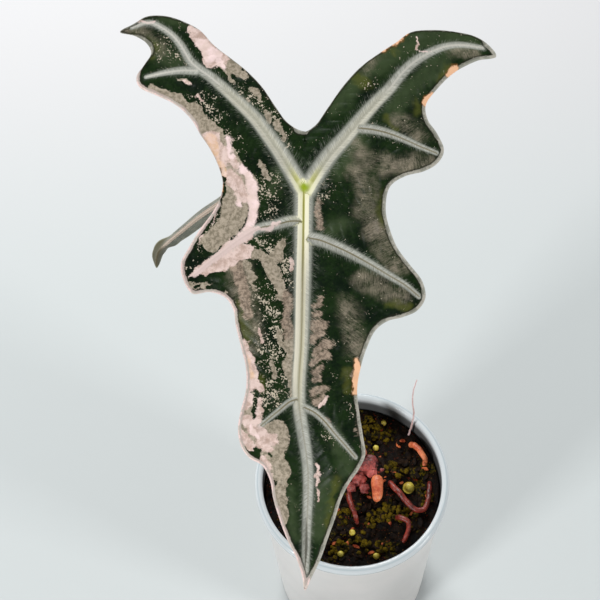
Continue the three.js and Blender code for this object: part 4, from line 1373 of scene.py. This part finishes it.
# %% Stalk and root skins
def make_stalk_skin():
    """Green with long brown flecks, pinker at the foot."""
    material, tree, shader = new_material("stalk_skin")
    place = object_place(tree)
    dark, light = colour(98, 112, 62), colour(146, 152, 98)
    ground = use_group(tree, living_grain, Dark=dark, Light=light, Place=place)
    stretch = tree.nodes.new("ShaderNodeMapping")
    feed(tree, stretch.inputs["Vector"], place)
    stretch.inputs["Scale"].default_value = (1, 1, 0.22)
    flecks = fade(tree, grain(tree, stretch.outputs[0], 620, 3, 0.6), 0.54, 0.6)
    skin = mix(tree, times(tree, flecks, 0.8), ground["Color"], colour(128, 78, 62))
    height = tree.nodes.new("ShaderNodeSeparateXYZ")
    feed(tree, height.inputs[0], place)
    foot = fade(tree, height.outputs["Z"], 0.150, 0.122)
    skin = mix(tree, times(tree, foot, 0.8), skin, colour(196, 120, 104))
    feed(tree, shader.inputs["Base Color"], skin)
    shader.inputs["Roughness"].default_value = 0.4
    ribs = grain(tree, stretch.outputs[0], 1500, 2)
    feed(tree, shader.inputs["Normal"], bump(tree, ribs, 0.35, 0.2))
    return material


def make_root_skin(name, dark, light, rough):
    """Root skin between two colours, with specks of soil."""
    material, tree, shader = new_material(name)
    place = object_place(tree)
    ground = use_group(tree, living_grain, Dark=dark, Light=light, Place=place)
    soil = fade(tree, grain(tree, place, 260, 4, 0.7), 0.58, 0.7)
    skin = mix(tree, times(tree, soil, 0.7), ground["Color"], colour(42, 30, 20))
    feed(tree, shader.inputs["Base Color"], skin)
    shader.inputs["Roughness"].default_value = rough
    feed(tree, shader.inputs["Normal"], bump(tree, grain(tree, place, 1100, 4, 0.7), 0.6, 0.4))
    return material


stalk_skin = make_stalk_skin()
root_skin = make_root_skin("root_skin", colour(66, 18, 14), colour(142, 50, 36), 0.35)
stub_skin = make_root_skin("stub_skin", colour(176, 76, 46), colour(232, 140, 92), 0.4)
thread_skin = make_root_skin("thread_skin", colour(186, 154, 150), colour(226, 202, 200), 0.6)
print("rod skins:", stalk_skin.name, root_skin.name, stub_skin.name, thread_skin.name)

# %% [markdown]
# Both stalks hide behind the large blade. Each rises from a swollen sheath at the crown,
# leans back and meets its blade from below, close under the junction, so that the blade
# seems to hang from it. It ends at the ribs below the blade, which hide the joint.

# %% The two stalks
big_under = blade_turn @ np.array([0, 0.4, -3.2]) + BLADE_AT
bending = blade_turn @ np.array([0, 3.0, -9.0]) + BLADE_AT
rod("stalk_big", [(1, 12, 120), (-4, 17, 160), (-11, 28, 215), (-15.5, 42, 265), tuple(bending),
                  tuple(big_under)],
    swollen(2.7, 2.3, 1.9, 0.14), stalk_skin, "stalk_large", sides=8)
small_under = place_small(np.array([[0.0, 2.0]]))[0] + np.array([0, 1.3, -2.2])
rod("stalk_young", [(6.4, 17.6, 120), (-1, 27, 150), (-9, 44, 193), (-21, 66, 232), tuple(small_under)],
    swollen(1.7, 1.2, 0.9, 0.12), stalk_skin, "stalk_small", sides=6)
print("stalks meet their blades at", big_under.round(1), "and", small_under.round(1), "mm")

# %% [markdown]
# Roots come out of the substrate, arch over it and dive in again, so most are short rods
# whose ends lie under the surface. LEVEL is a little above the surface's mean height.
# The fibre is a thin pale root that stands up past the cup's lip: the same rod, thinner and
# with fewer sides. A strand of hair would render as thin, but wouldn't be solid.

# %% The roots on the surface
LEVEL = 121
ROOTS = {
    "root_stub": dict(
        path=[(12.5, 4.6, LEVEL + 1), (12.4, -3, LEVEL + 2), (11.6, -9.8, LEVEL + 1)],
        radius=rounded(3.3, 0.3, 0.3), skin=stub_skin, slot="root_pale",
    ),
    "root_right": dict(
        path=[
            (18.6, 2.4, LEVEL - 2), (21, -3, LEVEL + 1.2), (25.3, -9.4, LEVEL + 1.6),
            (30, -14.6, LEVEL + 1.2), (34.2, -14.6, LEVEL + 1), (37, -9, LEVEL + 1),
            (38.2, -2, LEVEL - 1), (38.4, 2, LEVEL - 5),
        ],
        radius=rounded(1.5), skin=root_skin, slot="root",
    ),
    "root_front": dict(
        path=[
            (19.6, -16.4, LEVEL - 4), (22.4, -18.4, LEVEL + 0.8), (26, -21.4, LEVEL + 1.2),
            (24.6, -27, LEVEL + 0.6), (22.4, -30.6, LEVEL - 4),
        ],
        radius=rounded(1.4), skin=root_skin, slot="root",
    ),
    "root_left": dict(
        path=[
            (-1.6, -1, LEVEL - 3), (-1.8, -8, LEVEL + 1), (0.4, -15.4, LEVEL + 0.8),
            (1.6, -19.4, LEVEL - 4),
        ],
        radius=rounded(1.4), skin=root_skin, slot="root",
    ),
    "root_wall": dict(
        path=[
            (31, 22, LEVEL - 3), (34, 17.6, LEVEL + 1.2), (37, 12.4, LEVEL + 1), (37.4, 9, LEVEL - 4),
        ],
        radius=rounded(1.6), skin=stub_skin, slot="root_pale",
    ),
}
for node, root in ROOTS.items():
    rod(node + "_skin", root["path"], root["radius"], root["skin"], node,
        step=0.7, wobble=0.5)
THREAD = [(30.2, 27, 113), (31.5, 27, 126), (32.5, 28, 140), (31.9, 30.8, 148), (32.1, 32.8, 156),
          (33.8, 35.1, 163)]
rod("thread", THREAD, lambda t: 0.55 - 0.25 * t, thread_skin, "root_thread", sides=4, wobble=0.25)
print("rods:", len(ROOTS) + 3)

# %% [markdown]
# ## Crown
# The crown is the short stem that all grows from: a lump with the rings of old leaf bases. It
# starts as an icosphere, is pressed to its size, and each of its points is moved out or in
# by slow noise and by rings up its height. Sculpting would serve too, but a rule can be
# changed and run again.


# %% Crown
def crown_piece(material):
    """The crown's lump, as large as its solid."""
    low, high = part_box("crown")
    middle = [(a + b) / 2 for a, b in zip(low, high)]
    half = [(b - a) / 2 for a, b in zip(low, high)]
    bpy.ops.object.select_all(action="DESELECT")
    bpy.ops.mesh.primitive_ico_sphere_add(subdivisions=5, radius=1, location=(0, 0, 0))
    obj = bpy.context.view_layer.objects.active
    obj.name = "crown_flesh"
    for v in obj.data.vertices:
        p = v.co.copy()
        ring = 0.05 * math.sin(p.z * 16 + 2 * noise.noise(p * 1.5))
        lump = 0.1 * noise.noise(p * 2.2) + 0.04 * noise.noise(p * 7)
        p *= 0.93 + ring + lump
        v.co = Vector([m + c * h for m, c, h in zip(middle, p, half)])
    obj.data.materials.append(material)
    select_only(obj)
    bpy.ops.object.shade_smooth()
    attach(obj, "root")
    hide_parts("crown")
    return obj


crown_skin = make_root_skin("crown_skin", colour(66, 18, 20), colour(186, 86, 78), 0.5)
crown_flesh = crown_piece(crown_skin)
print("crown:", len(crown_flesh.data.polygons), "faces")

# %% [markdown]
# Small fleshy buds swell round the crown's foot. A sphere would look like a bead, so each is
# pushed out and in by noise that starts elsewhere for each bud, then pressed a little flat.
# They are joined, because they are one growth with the crown.

# %% Buds round the crown's foot
BUDS = [
    (3.8, 3.9, 119.5, 3.4), (6.4, -1.0, 119.5, 2.7), (0.0, -0.1, 119.5, 2.5), (10.4, 6.7, 119.5, 2.6),
    (16.5, 7.3, 119.5, 2.2),
]


def bud_piece(material):
    """Fleshy buds: pressed spheres, each swollen by slow noise, joined into one piece."""
    bpy.ops.object.select_all(action="DESELECT")
    buds = []
    for x, y, z, r in BUDS:
        bpy.ops.mesh.primitive_ico_sphere_add(subdivisions=4, radius=1, location=(0, 0, 0))
        bud = bpy.context.view_layer.objects.active
        for v in bud.data.vertices:
            swell = 0.4 * noise.noise(v.co * 1.5 + Vector((x, y, 0)))
            p = v.co * (1 + swell + 0.08 * noise.noise(v.co * 5))
            v.co = Vector((x + p.x * r, y + p.y * r, z + p.z * r * 0.75)) * MM
        buds.append(bud)
    bpy.ops.object.select_all(action="DESELECT")
    for bud in buds:
        bud.select_set(True)
    bpy.context.view_layer.objects.active = buds[0]
    bpy.ops.object.join()
    piece = bpy.context.view_layer.objects.active
    piece.name = "crown_buds"
    piece.data.materials.clear()
    piece.data.materials.append(material)
    bpy.ops.object.shade_smooth()
    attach(piece, "root")
    return piece


crown_buds = bud_piece(crown_skin)
print("buds:", len(BUDS), "with", len(crown_buds.data.polygons), "faces")

# %% [markdown]
# ## Substrate
# The filling is a dark, moist mix of bark and moss. Its body follows the cup's inside, a
# little within the wall, and its top is an uneven field: broad swells, lumps and crumbs are
# the same noise at three sizes. Near the wall the swells fade, so that nothing pokes through.

# %% The surface of the substrate
SOIL_TOP = 119
SOIL_BOTTOM = 3.8
SOIL_GAP = 0.6
WALL = 1.2
FOOT_RADIUS = 40
WALL_TOP_RADIUS = 45.2
WALL_FOOT = 2.2
WALL_RISE = 122.4


def wall_inside(z):
    """The inner radius of the cup's wall at a height."""
    share = (z - WALL_FOOT) / WALL_RISE
    return (FOOT_RADIUS - WALL) + (WALL_TOP_RADIUS - FOOT_RADIUS) * share


def soil_height(x, y):
    """The height of the substrate's top at a place."""
    edge = wall_inside(SOIL_TOP) - SOIL_GAP
    fall = 1 - min(1.0, math.hypot(x, y) / edge) ** 6
    broad = noise.noise(Vector((x / 14, y / 14, 1.7))) * 3.0
    lumps = noise.noise(Vector((x / 4, y / 4, 5.1))) * 1.6
    crumbs = noise.noise(Vector((x / 1.5, y / 1.5, 8.3))) * 0.7
    return SOIL_TOP + (broad + lumps) * fall + crumbs


print("surface in the middle:", round(soil_height(0, 0), 2), "mm high")

# %% [markdown]
# The body is made of rings of places, joined by quads: up the wall, then inward over the
# top, each place lifted to the surface's height. A spun profile would give the wall but an
# even top, and a displaced plane would still need a wall.


# %% Substrate body
AROUND = 160
TOP_RINGS = 46
WALL_RINGS = 30


def soil_body(material):
    """A turned body: centre, floor, wall and an uneven top in rings."""
    around, rings = AROUND, TOP_RINGS
    edge = wall_inside(SOIL_TOP) - SOIL_GAP
    profile = [(wall_inside(SOIL_BOTTOM) - SOIL_GAP, SOIL_BOTTOM)]
    heights = np.linspace(SOIL_BOTTOM, SOIL_TOP, WALL_RINGS)[1:]
    profile += [(wall_inside(z) - SOIL_GAP, z) for z in heights]
    profile += [(edge * (1 - k / rings), None) for k in range(1, rings)]
    places = [(0, 0, SOIL_BOTTOM)]
    for r, z in profile:
        for k in range(around):
            a = 2 * math.pi * k / around
            x, y = r * math.cos(a), r * math.sin(a)
            if z is None:
                places.append((x, y, soil_height(x, y)))
            else:
                dent = 0.35 * noise.noise(Vector((x / 3, y / 3, z / 3)))
                places.append((x * (1 + (dent - 0.3) / r), y * (1 + (dent - 0.3) / r), z))
    places.append((0, 0, soil_height(0, 0)))
    faces = []
    for k in range(around):
        faces.append((0, 1 + (k + 1) % around, 1 + k))
    for i in range(len(profile) - 1):
        for k in range(around):
            a, b = 1 + i * around + k, 1 + i * around + (k + 1) % around
            faces.append((a, b, b + around, a + around))
    last, centre = 1 + (len(profile) - 1) * around, len(places) - 1
    for k in range(around):
        faces.append((last + k, last + (k + 1) % around, centre))
    obj = mesh_object("substrate_body", places, faces, [material])
    select_only(obj)
    bpy.ops.object.shade_smooth()
    return obj


print("rings of the body:", WALL_RINGS + TOP_RINGS - 1)

# %% [markdown]
# Moist humus is nearly black, with rusty fibres, moss and pale crumbs in it. The layers are
# noise at several scales, and the twist in the fibres' noise draws them out. The roughness
# varies too, because wet and dry spots lie side by side.


# %% Skin of the substrate
def make_soil_skin():
    """Black-brown humus with rusty fibre, green moss and small pale crumbs."""
    material, tree, shader = new_material("soil_skin")
    place = object_place(tree)
    humus = fade(tree, grain(tree, place, 260, 6, 0.7), 0.38, 0.62)
    ground = mix(tree, humus, colour(2, 1, 1), colour(25, 14, 4))
    moss = fade(tree, grain(tree, place, 75, 4, 0.65), 0.56, 0.64)
    tufts = fade(tree, grain(tree, place, 900, 3), 0.4, 0.6)
    skin = mix(tree, moss, ground, mix(tree, tufts, colour(12, 14, 1), colour(84, 72, 5)))
    fibre = fade(tree, grain(tree, place, 520, 5, 0.75, 1.5), 0.61, 0.66)
    skin = mix(tree, fibre, skin, colour(134, 48, 18))
    crumb = fade(tree, cells(tree, place, 420), 0.12, 0.07)
    skin = mix(tree, times(tree, crumb, 0.8), skin, colour(140, 98, 44))
    feed(tree, shader.inputs["Base Color"], skin)
    wet = grain(tree, place, 200, 3)
    feed(tree, shader.inputs["Roughness"], fade(tree, wet, 0.4, 0.6, 0.5, 0.95))
    shader.inputs["Specular IOR Level"].default_value = 0.12
    feed(tree, shader.inputs["Normal"], bump(tree, grain(tree, place, 800, 6, 0.75), 1.0, 1.2))
    return material


soil_skin = make_soil_skin()
substrate_body = soil_body(soil_skin)
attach(substrate_body, "root")
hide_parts("substrate")
print("substrate:", len(substrate_body.data.polygons), "faces")

# %% [markdown]
# Loose bits lie on the surface: bark chips, moss tufts, a few yellow granules and orange
# chips. Each kind is modelled once, as a lump pushed about by noise and pressed to its form,
# and copied, each copy with its own mesh. The bits of one kind are joined into one piece. A
# particle system would scatter them too, but would have to be turned into meshes in the end.


# %% Modelling and scattering bits
def bit_shape(kind, seed):
    """One loose bit about 1 mm in radius, modelled once for each kind."""
    bpy.ops.object.select_all(action="DESELECT")
    bpy.ops.mesh.primitive_ico_sphere_add(subdivisions=4 if kind == "granule" else 2, radius=1)
    obj = bpy.context.view_layer.objects.active
    for v in obj.data.vertices:
        p = v.co.copy()
        if kind == "bark":
            p *= 1 + 0.35 * noise.noise(p * 1.6 + Vector((seed, 0, 0)))
            p = Vector((p.x * 1.5, p.y * 0.8, max(-0.35, min(0.35, p.z * 0.8))))
        elif kind == "moss":
            p *= 1 + 0.45 * noise.noise(p * 3.5 + Vector((seed, 0, 0)))
            p.z *= 0.6
        else:
            p *= 1 + 0.05 * noise.noise(p * 2 + Vector((seed, 0, 0)))
        v.co = p
    return obj


def scatter(kind, spots, material, seed):
    """Copies of one bit at spots of (x, y, radius), joined into one piece."""
    rng = random.Random(seed)
    model = bit_shape(kind, seed)
    copies = []
    for x, y, r in spots:
        copy = model.copy()
        copy.data = model.data.copy()
        bpy.context.collection.objects.link(copy)
        tilt = 0.5 if kind == "bark" else 0.3
        turn = Matrix.Rotation(rng.uniform(0, 6.28), 4, "Z")
        turn = turn @ Matrix.Rotation(rng.uniform(-tilt, tilt), 4, "X")
        sink = 0.15 if kind == "bark" else 0.3
        at = Vector((x, y, soil_height(x, y) + r * (0.5 if kind == "granule" else sink)))
        copy.data.transform(Matrix.Translation(at * MM) @ turn @ Matrix.Scale(r * MM, 4))
        copies.append(copy)
    bpy.data.objects.remove(model)
    bpy.ops.object.select_all(action="DESELECT")
    for copy in copies:
        copy.select_set(True)
    bpy.context.view_layer.objects.active = copies[0]
    bpy.ops.object.join()
    piece = bpy.context.view_layer.objects.active
    piece.name = kind + "_bits"
    piece.data.materials.clear()
    piece.data.materials.append(material)
    bpy.ops.object.shade_smooth()
    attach(piece, "root")
    print(kind, len(spots), "bits,", len(piece.data.polygons), "faces")
    return piece


def random_spots(count, seed, small, large):
    """Places and radii inside the cup, away from the crown."""
    reach = 40
    rng = random.Random(seed)
    spots = []
    while len(spots) < count:
        x, y = rng.uniform(-reach, reach), rng.uniform(-reach, reach)
        r = rng.uniform(small, large)
        if math.hypot(x, y) < reach - r and math.hypot(x - 7, y - 11) > 8:
            spots.append((x, y, r))
    return spots


print("first spot of bark:", [round(v, 1) for v in random_spots(1, 5, 0.6, 2.0)[0]])

# %% [markdown]
# The bits differ only in their tones, in how they shine and in how deep their grain is, so
# one recipe serves them all.


# %% Skins of the bits
def make_bit_skin(name, dark, light, rough, depth, shine=0.12):
    """A grained skin between two tones."""
    material, tree, shader = new_material(name)
    place = object_place(tree)
    tone = mix(tree, fade(tree, grain(tree, place, 350, 5, 0.7), 0.36, 0.64), dark, light)
    feed(tree, shader.inputs["Base Color"], tone)
    shader.inputs["Roughness"].default_value = rough
    shader.inputs["Specular IOR Level"].default_value = shine
    feed(tree, shader.inputs["Normal"], bump(tree, grain(tree, place, 1400, 4, 0.7), 0.8, depth))
    return material


bark_skin = make_bit_skin("bark_skin", colour(2, 1, 1), colour(36, 20, 6), 0.7, 0.6)
moss_skin = make_bit_skin("moss_skin", colour(10, 10, 1), colour(98, 80, 6), 0.95, 1.0)
granule_skin = make_bit_skin("granule_skin", colour(150, 124, 28), colour(206, 190, 82), 0.4, 0.2, 0.4)
chip_skin = make_bit_skin("chip_skin", colour(112, 38, 16), colour(206, 112, 66), 0.6, 0.4)
print("bit skins:", bark_skin.name, moss_skin.name, granule_skin.name, chip_skin.name)

# %% [markdown]
# Bark lies everywhere, by chance with a fixed seed, so that each run gives the same surface.
# Moss grows in clusters, which are noted from the photograph where it shows them, and the
# granules are few enough to be placed one by one.

# %% Bits on the substrate
scatter("bark", random_spots(260, 5, 0.6, 2.0), bark_skin, 3)
MOSS_PATCHES = [
    (11.7, 35.6), (14.3, 29.9), (19.1, 26.2), (9.5, 26.3), (18.7, -12.4), (23.3, -15.8), (14.5, -16.3),
    (-5.6, -29.8), (1.0, -26.7), (-10.1, -33.1), (9.0, -18.0), (8.2, 16.6), (22.5, 7.5), (36.7, -9.4),
    (11.2, -32.4), (-20, 8), (-26, -10), (-12, 27), (-4, -14), (-30, 16),
]
moss_rng = random.Random(31)
moss_spots = [
    (x + moss_rng.gauss(0, 2.3), y + moss_rng.gauss(0, 2.3), moss_rng.uniform(0.5, 1.5))
    for x, y in MOSS_PATCHES for _ in range(20)
]
moss_spots = [spot for spot in moss_spots if math.hypot(spot[0], spot[1]) < 41 - spot[2]]
scatter("moss", random_spots(40, 8, 0.5, 1.2) + moss_spots, moss_skin, 4)
GRANULES = [
    (28, -1.7, 2.9), (13.5, 20.5, 1.5), (18.5, 33.5, 1.4), (-1.6, -24, 1.5), (-8, -34, 1.5),
    (9, -36.5, 1.5),
]
scatter("granule", GRANULES, granule_skin, 6)
chips = scatter("bark", random_spots(44, 21, 0.4, 1.2), chip_skin, 7)
chips.name = "orange_chips"
print("moss tufts in clusters:", len(moss_spots), "granules:", len(GRANULES))

# %% [markdown]
# ## Cup
# The cup is one thin turned wall with a rolled lip, a foot ring and drain holes. It is drawn
# as a profile of edges, radius and height from the axis out and back, and spun about its
# axis. Extruded circles would take many steps for the same curves.

# %% Profile of the cup
CUP_PROFILE = [
    (0, 0), (12, 0), (12.6, 0.4), (13.4, 1.9), (14, 2.2), (31.6, 2.2), (32.3, 1.9), (33.2, 0.3),
    (33.8, 0), (38.6, 0), (39.5, 0.4), (40.02, 1.4), (45.2, 124.6), (46.0, 124.8), (46.9, 125.2),
    (47.4, 125.9), (47.5, 127), (47.5, 128.3), (47.2, 129.2), (46.5, 129.8), (45.6, 130), (44.6, 129.8),
    (44.0, 129.2), (43.8, 128.2), (43.95, 124.6), (38.75, 2.6), (38.3, 1.6), (37.6, 1.2), (34, 1.2),
    (33.3, 1.6), (32.6, 3.2), (31.9, 3.4), (13, 3.4), (12.3, 3.1), (11.6, 1.5), (11, 1.2), (0, 1.2),
]
reach, rise = (max(column) for column in zip(*CUP_PROFILE))
print("profile:", reach, "mm from the axis and", rise, "mm high")

# %% [markdown]
# Spinning leaves a seam and a pole of doubled points, so they are merged and the normals are
# worked out anew. Each drain hole is then cut with a cylinder and a Boolean modifier, as one
# would drill it.


# %% Spinning and drilling the cup
SPIN_STEPS = 144
DRAINS = 6
DRAIN_RADIUS = 3.5
DRAIN_RING = 23
DRAIN_DEPTH = 12
DRAIN_HEIGHT = 2.8


def cup_piece(material):
    """The spun wall with its drain holes."""
    mesh = bpy.data.meshes.new("cup_wall")
    edges = [(i, i + 1) for i in range(len(CUP_PROFILE) - 1)]
    mesh.from_pydata([(r * MM, 0, z * MM) for r, z in CUP_PROFILE], edges, [])
    obj = bpy.data.objects.new("cup_wall", mesh)
    bpy.context.collection.objects.link(obj)
    select_only(obj)
    bpy.ops.object.mode_set(mode="EDIT")
    bpy.ops.mesh.select_all(action="SELECT")
    bpy.ops.mesh.spin(steps=SPIN_STEPS, angle=2 * math.pi, center=(0, 0, 0), axis=(0, 0, 1))
    bpy.ops.mesh.select_all(action="SELECT")
    bpy.ops.mesh.remove_doubles(threshold=0.00002)
    bpy.ops.mesh.normals_make_consistent(inside=False)
    bpy.ops.object.mode_set(mode="OBJECT")
    for k in range(DRAINS):
        angle = (k + 0.5) / DRAINS * 2 * math.pi
        bpy.ops.object.select_all(action="DESELECT")
        x, y = DRAIN_RING * MM * math.cos(angle), DRAIN_RING * MM * math.sin(angle)
        bpy.ops.mesh.primitive_cylinder_add(
            vertices=32, radius=DRAIN_RADIUS * MM, depth=DRAIN_DEPTH * MM,
            location=(x, y, DRAIN_HEIGHT * MM),
        )
        drain = bpy.context.view_layer.objects.active
        select_only(obj)
        bpy.ops.object.modifier_add(type="BOOLEAN")
        obj.modifiers[-1].object = drain
        obj.modifiers[-1].operation = "DIFFERENCE"
        bpy.ops.object.modifier_apply(modifier=obj.modifiers[-1].name)
        bpy.data.objects.remove(drain)
    obj.data.materials.append(material)
    select_only(obj)
    bpy.ops.object.shade_smooth_by_angle(angle=math.radians(40))
    return obj


print("drain holes:", DRAINS, "at", DRAIN_RING, "mm from the axis")

# %% [markdown]
# The plastic is milky, and in the photograph the dark filling shows through it as a soft
# grey. Light that really passed through the thin wall left false scratches in the picture,
# so the wall is opaque and its light and shade are painted: a pale outside, a painted grey
# shade on the inner face above the filling, and a cooler lip with a painted line of shade in
# the crease under it. The inner face is found by its distance from the axis, less the wall's
# lean.


# %% Milky plastic
MILKS = colour(199, 196, 193), colour(204, 200, 197)
PAINTED_INNER_SHADE = colour(78, 79, 79)
LIP_TONE = colour(190, 198, 202)
PAINTED_UNDER_LIP_SHADE = colour(128, 150, 152)
LIP_LINE = colour(150, 166, 172)
WALL_LEAN = 0.0423
LIP_FOOT = 0.1248
LIP_CREST = 0.0462


def make_cup_plastic():
    """Milky outside, with a painted grey shade on the inner face above the filling."""
    material, tree, shader = new_material("milky_plastic")
    place = object_place(tree)
    parts = tree.nodes.new("ShaderNodeSeparateXYZ")
    feed(tree, parts.inputs[0], place)
    x, y, z = parts.outputs
    squares = calc(tree, "ADD", calc(tree, "POWER", x, 2.0), calc(tree, "POWER", y, 2.0))
    across = calc(tree, "SQRT", squares)
    lean = calc(tree, "SUBTRACT", across, times(tree, z, WALL_LEAN))
    # painted shade on the inner face above the filling
    painted_inner_shade = times(tree, fade(tree, lean, 0.0396, 0.0390), fade(tree, z, 0.1295, 0.1235))
    milk = mix(tree, fade(tree, grain(tree, place, 45, 3), 0.35, 0.65), *MILKS)
    lip = fade(tree, z, 0.1246, 0.1254)
    milk = mix(tree, times(tree, lip, 0.8), milk, LIP_TONE)
    # painted line of shade in the crease under the rolled lip
    from_foot = calc(tree, "ABSOLUTE", calc(tree, "SUBTRACT", z, LIP_FOOT))
    painted_under_lip_shade = fade(tree, from_foot, 0.0008, 0.0002)
    milk = mix(tree, times(tree, painted_under_lip_shade, 0.6), milk, PAINTED_UNDER_LIP_SHADE)
    from_crest = calc(tree, "ABSOLUTE", calc(tree, "SUBTRACT", across, LIP_CREST))
    lip_line = times(tree, fade(tree, from_crest, 0.0006, 0.0001), lip, 0.5)
    milk = mix(tree, lip_line, milk, LIP_LINE)
    feed(tree, shader.inputs["Base Color"], mix(tree, painted_inner_shade, milk, PAINTED_INNER_SHADE))
    feed(tree, shader.inputs["Roughness"], fade(tree, lip, 0, 1, 0.3, 0.14))
    shader.inputs["Specular IOR Level"].default_value = 0.4
    return material


cup_plastic = make_cup_plastic()
cup_wall = cup_piece(cup_plastic)
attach(cup_wall, "root")
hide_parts("cup")
print("cup:", len(cup_wall.data.polygons), "faces")

# %% [markdown]
# ## Floor and light
# The plant stands on a pale, faintly blue-green table. Its colour is painted a little lighter
# and more neutral further away, as painted light that is brighter there. A plane is enough for
# it, since nothing of its edge or thickness is seen. It is part of the stage and not of the
# plant.


# %% Floor
def make_floor():
    """A pale table top, part of the stage."""
    bpy.ops.object.select_all(action="DESELECT")
    bpy.ops.mesh.primitive_plane_add(size=6, location=(0, 0, 0))
    floor = bpy.context.view_layer.objects.active
    floor.name = "table_top"
    material, tree, shader = new_material("table_paint")
    apart = tree.nodes.new("ShaderNodeSeparateXYZ")
    feed(tree, apart.inputs[0], object_place(tree))
    # painted light: the table is painted lighter and more neutral further away
    far = fade(tree, apart.outputs["Y"], 0.16, 0.42)
    feed(tree, shader.inputs["Base Color"], mix(tree, far, colour(184, 189, 189), colour(190, 190, 191)))
    shader.inputs["Roughness"].default_value = 0.7
    floor.data.materials.append(material)
    return floor


table_top = make_floor()
print("table:", table_top.dimensions.x, "m wide")

# %% [markdown]
# The light is bright and even. Two soft boxes low in front, left and right, throw soft
# shadows behind the plant to both sides, a broad one further back brightens the table there,
# and the room's even light fills the rest. One strong lamp would leave a single hard shadow.


# %% Lights
def soft_box(name, at, aim, size, power):
    """A square light at a place, turned towards another."""
    data = bpy.data.lights.new(name, "AREA")
    data.shape = "SQUARE"
    data.size = size
    data.energy = power
    light = bpy.data.objects.new(name, data)
    bpy.context.collection.objects.link(light)
    toward = Vector(aim) - Vector(at)
    light.matrix_world = Matrix.Translation(at) @ toward.to_track_quat("-Z", "Y").to_matrix().to_4x4()


soft_box("light_left", (-0.95, -0.78, 0.64), (0, 0, 0.15), 0.26, 12.5)
soft_box("light_right", (1.05, -0.6, 0.6), (0, 0, 0.15), 0.26, 8.2)
soft_box("light_back", (-0.25, 1.3, 0.95), (-0.05, 0.6, 0.0), 0.9, 27)
world = bpy.data.worlds.new("room")
world.use_nodes = True
world.node_tree.nodes["Background"].inputs["Color"].default_value = (0.95, 0.98, 1.0, 1)
world.node_tree.nodes["Background"].inputs["Strength"].default_value = 0.34
bpy.context.scene.world = world
bpy.context.scene.view_settings.view_transform = "Standard"
print("lights:", ", ".join(light.name for light in bpy.data.lights))
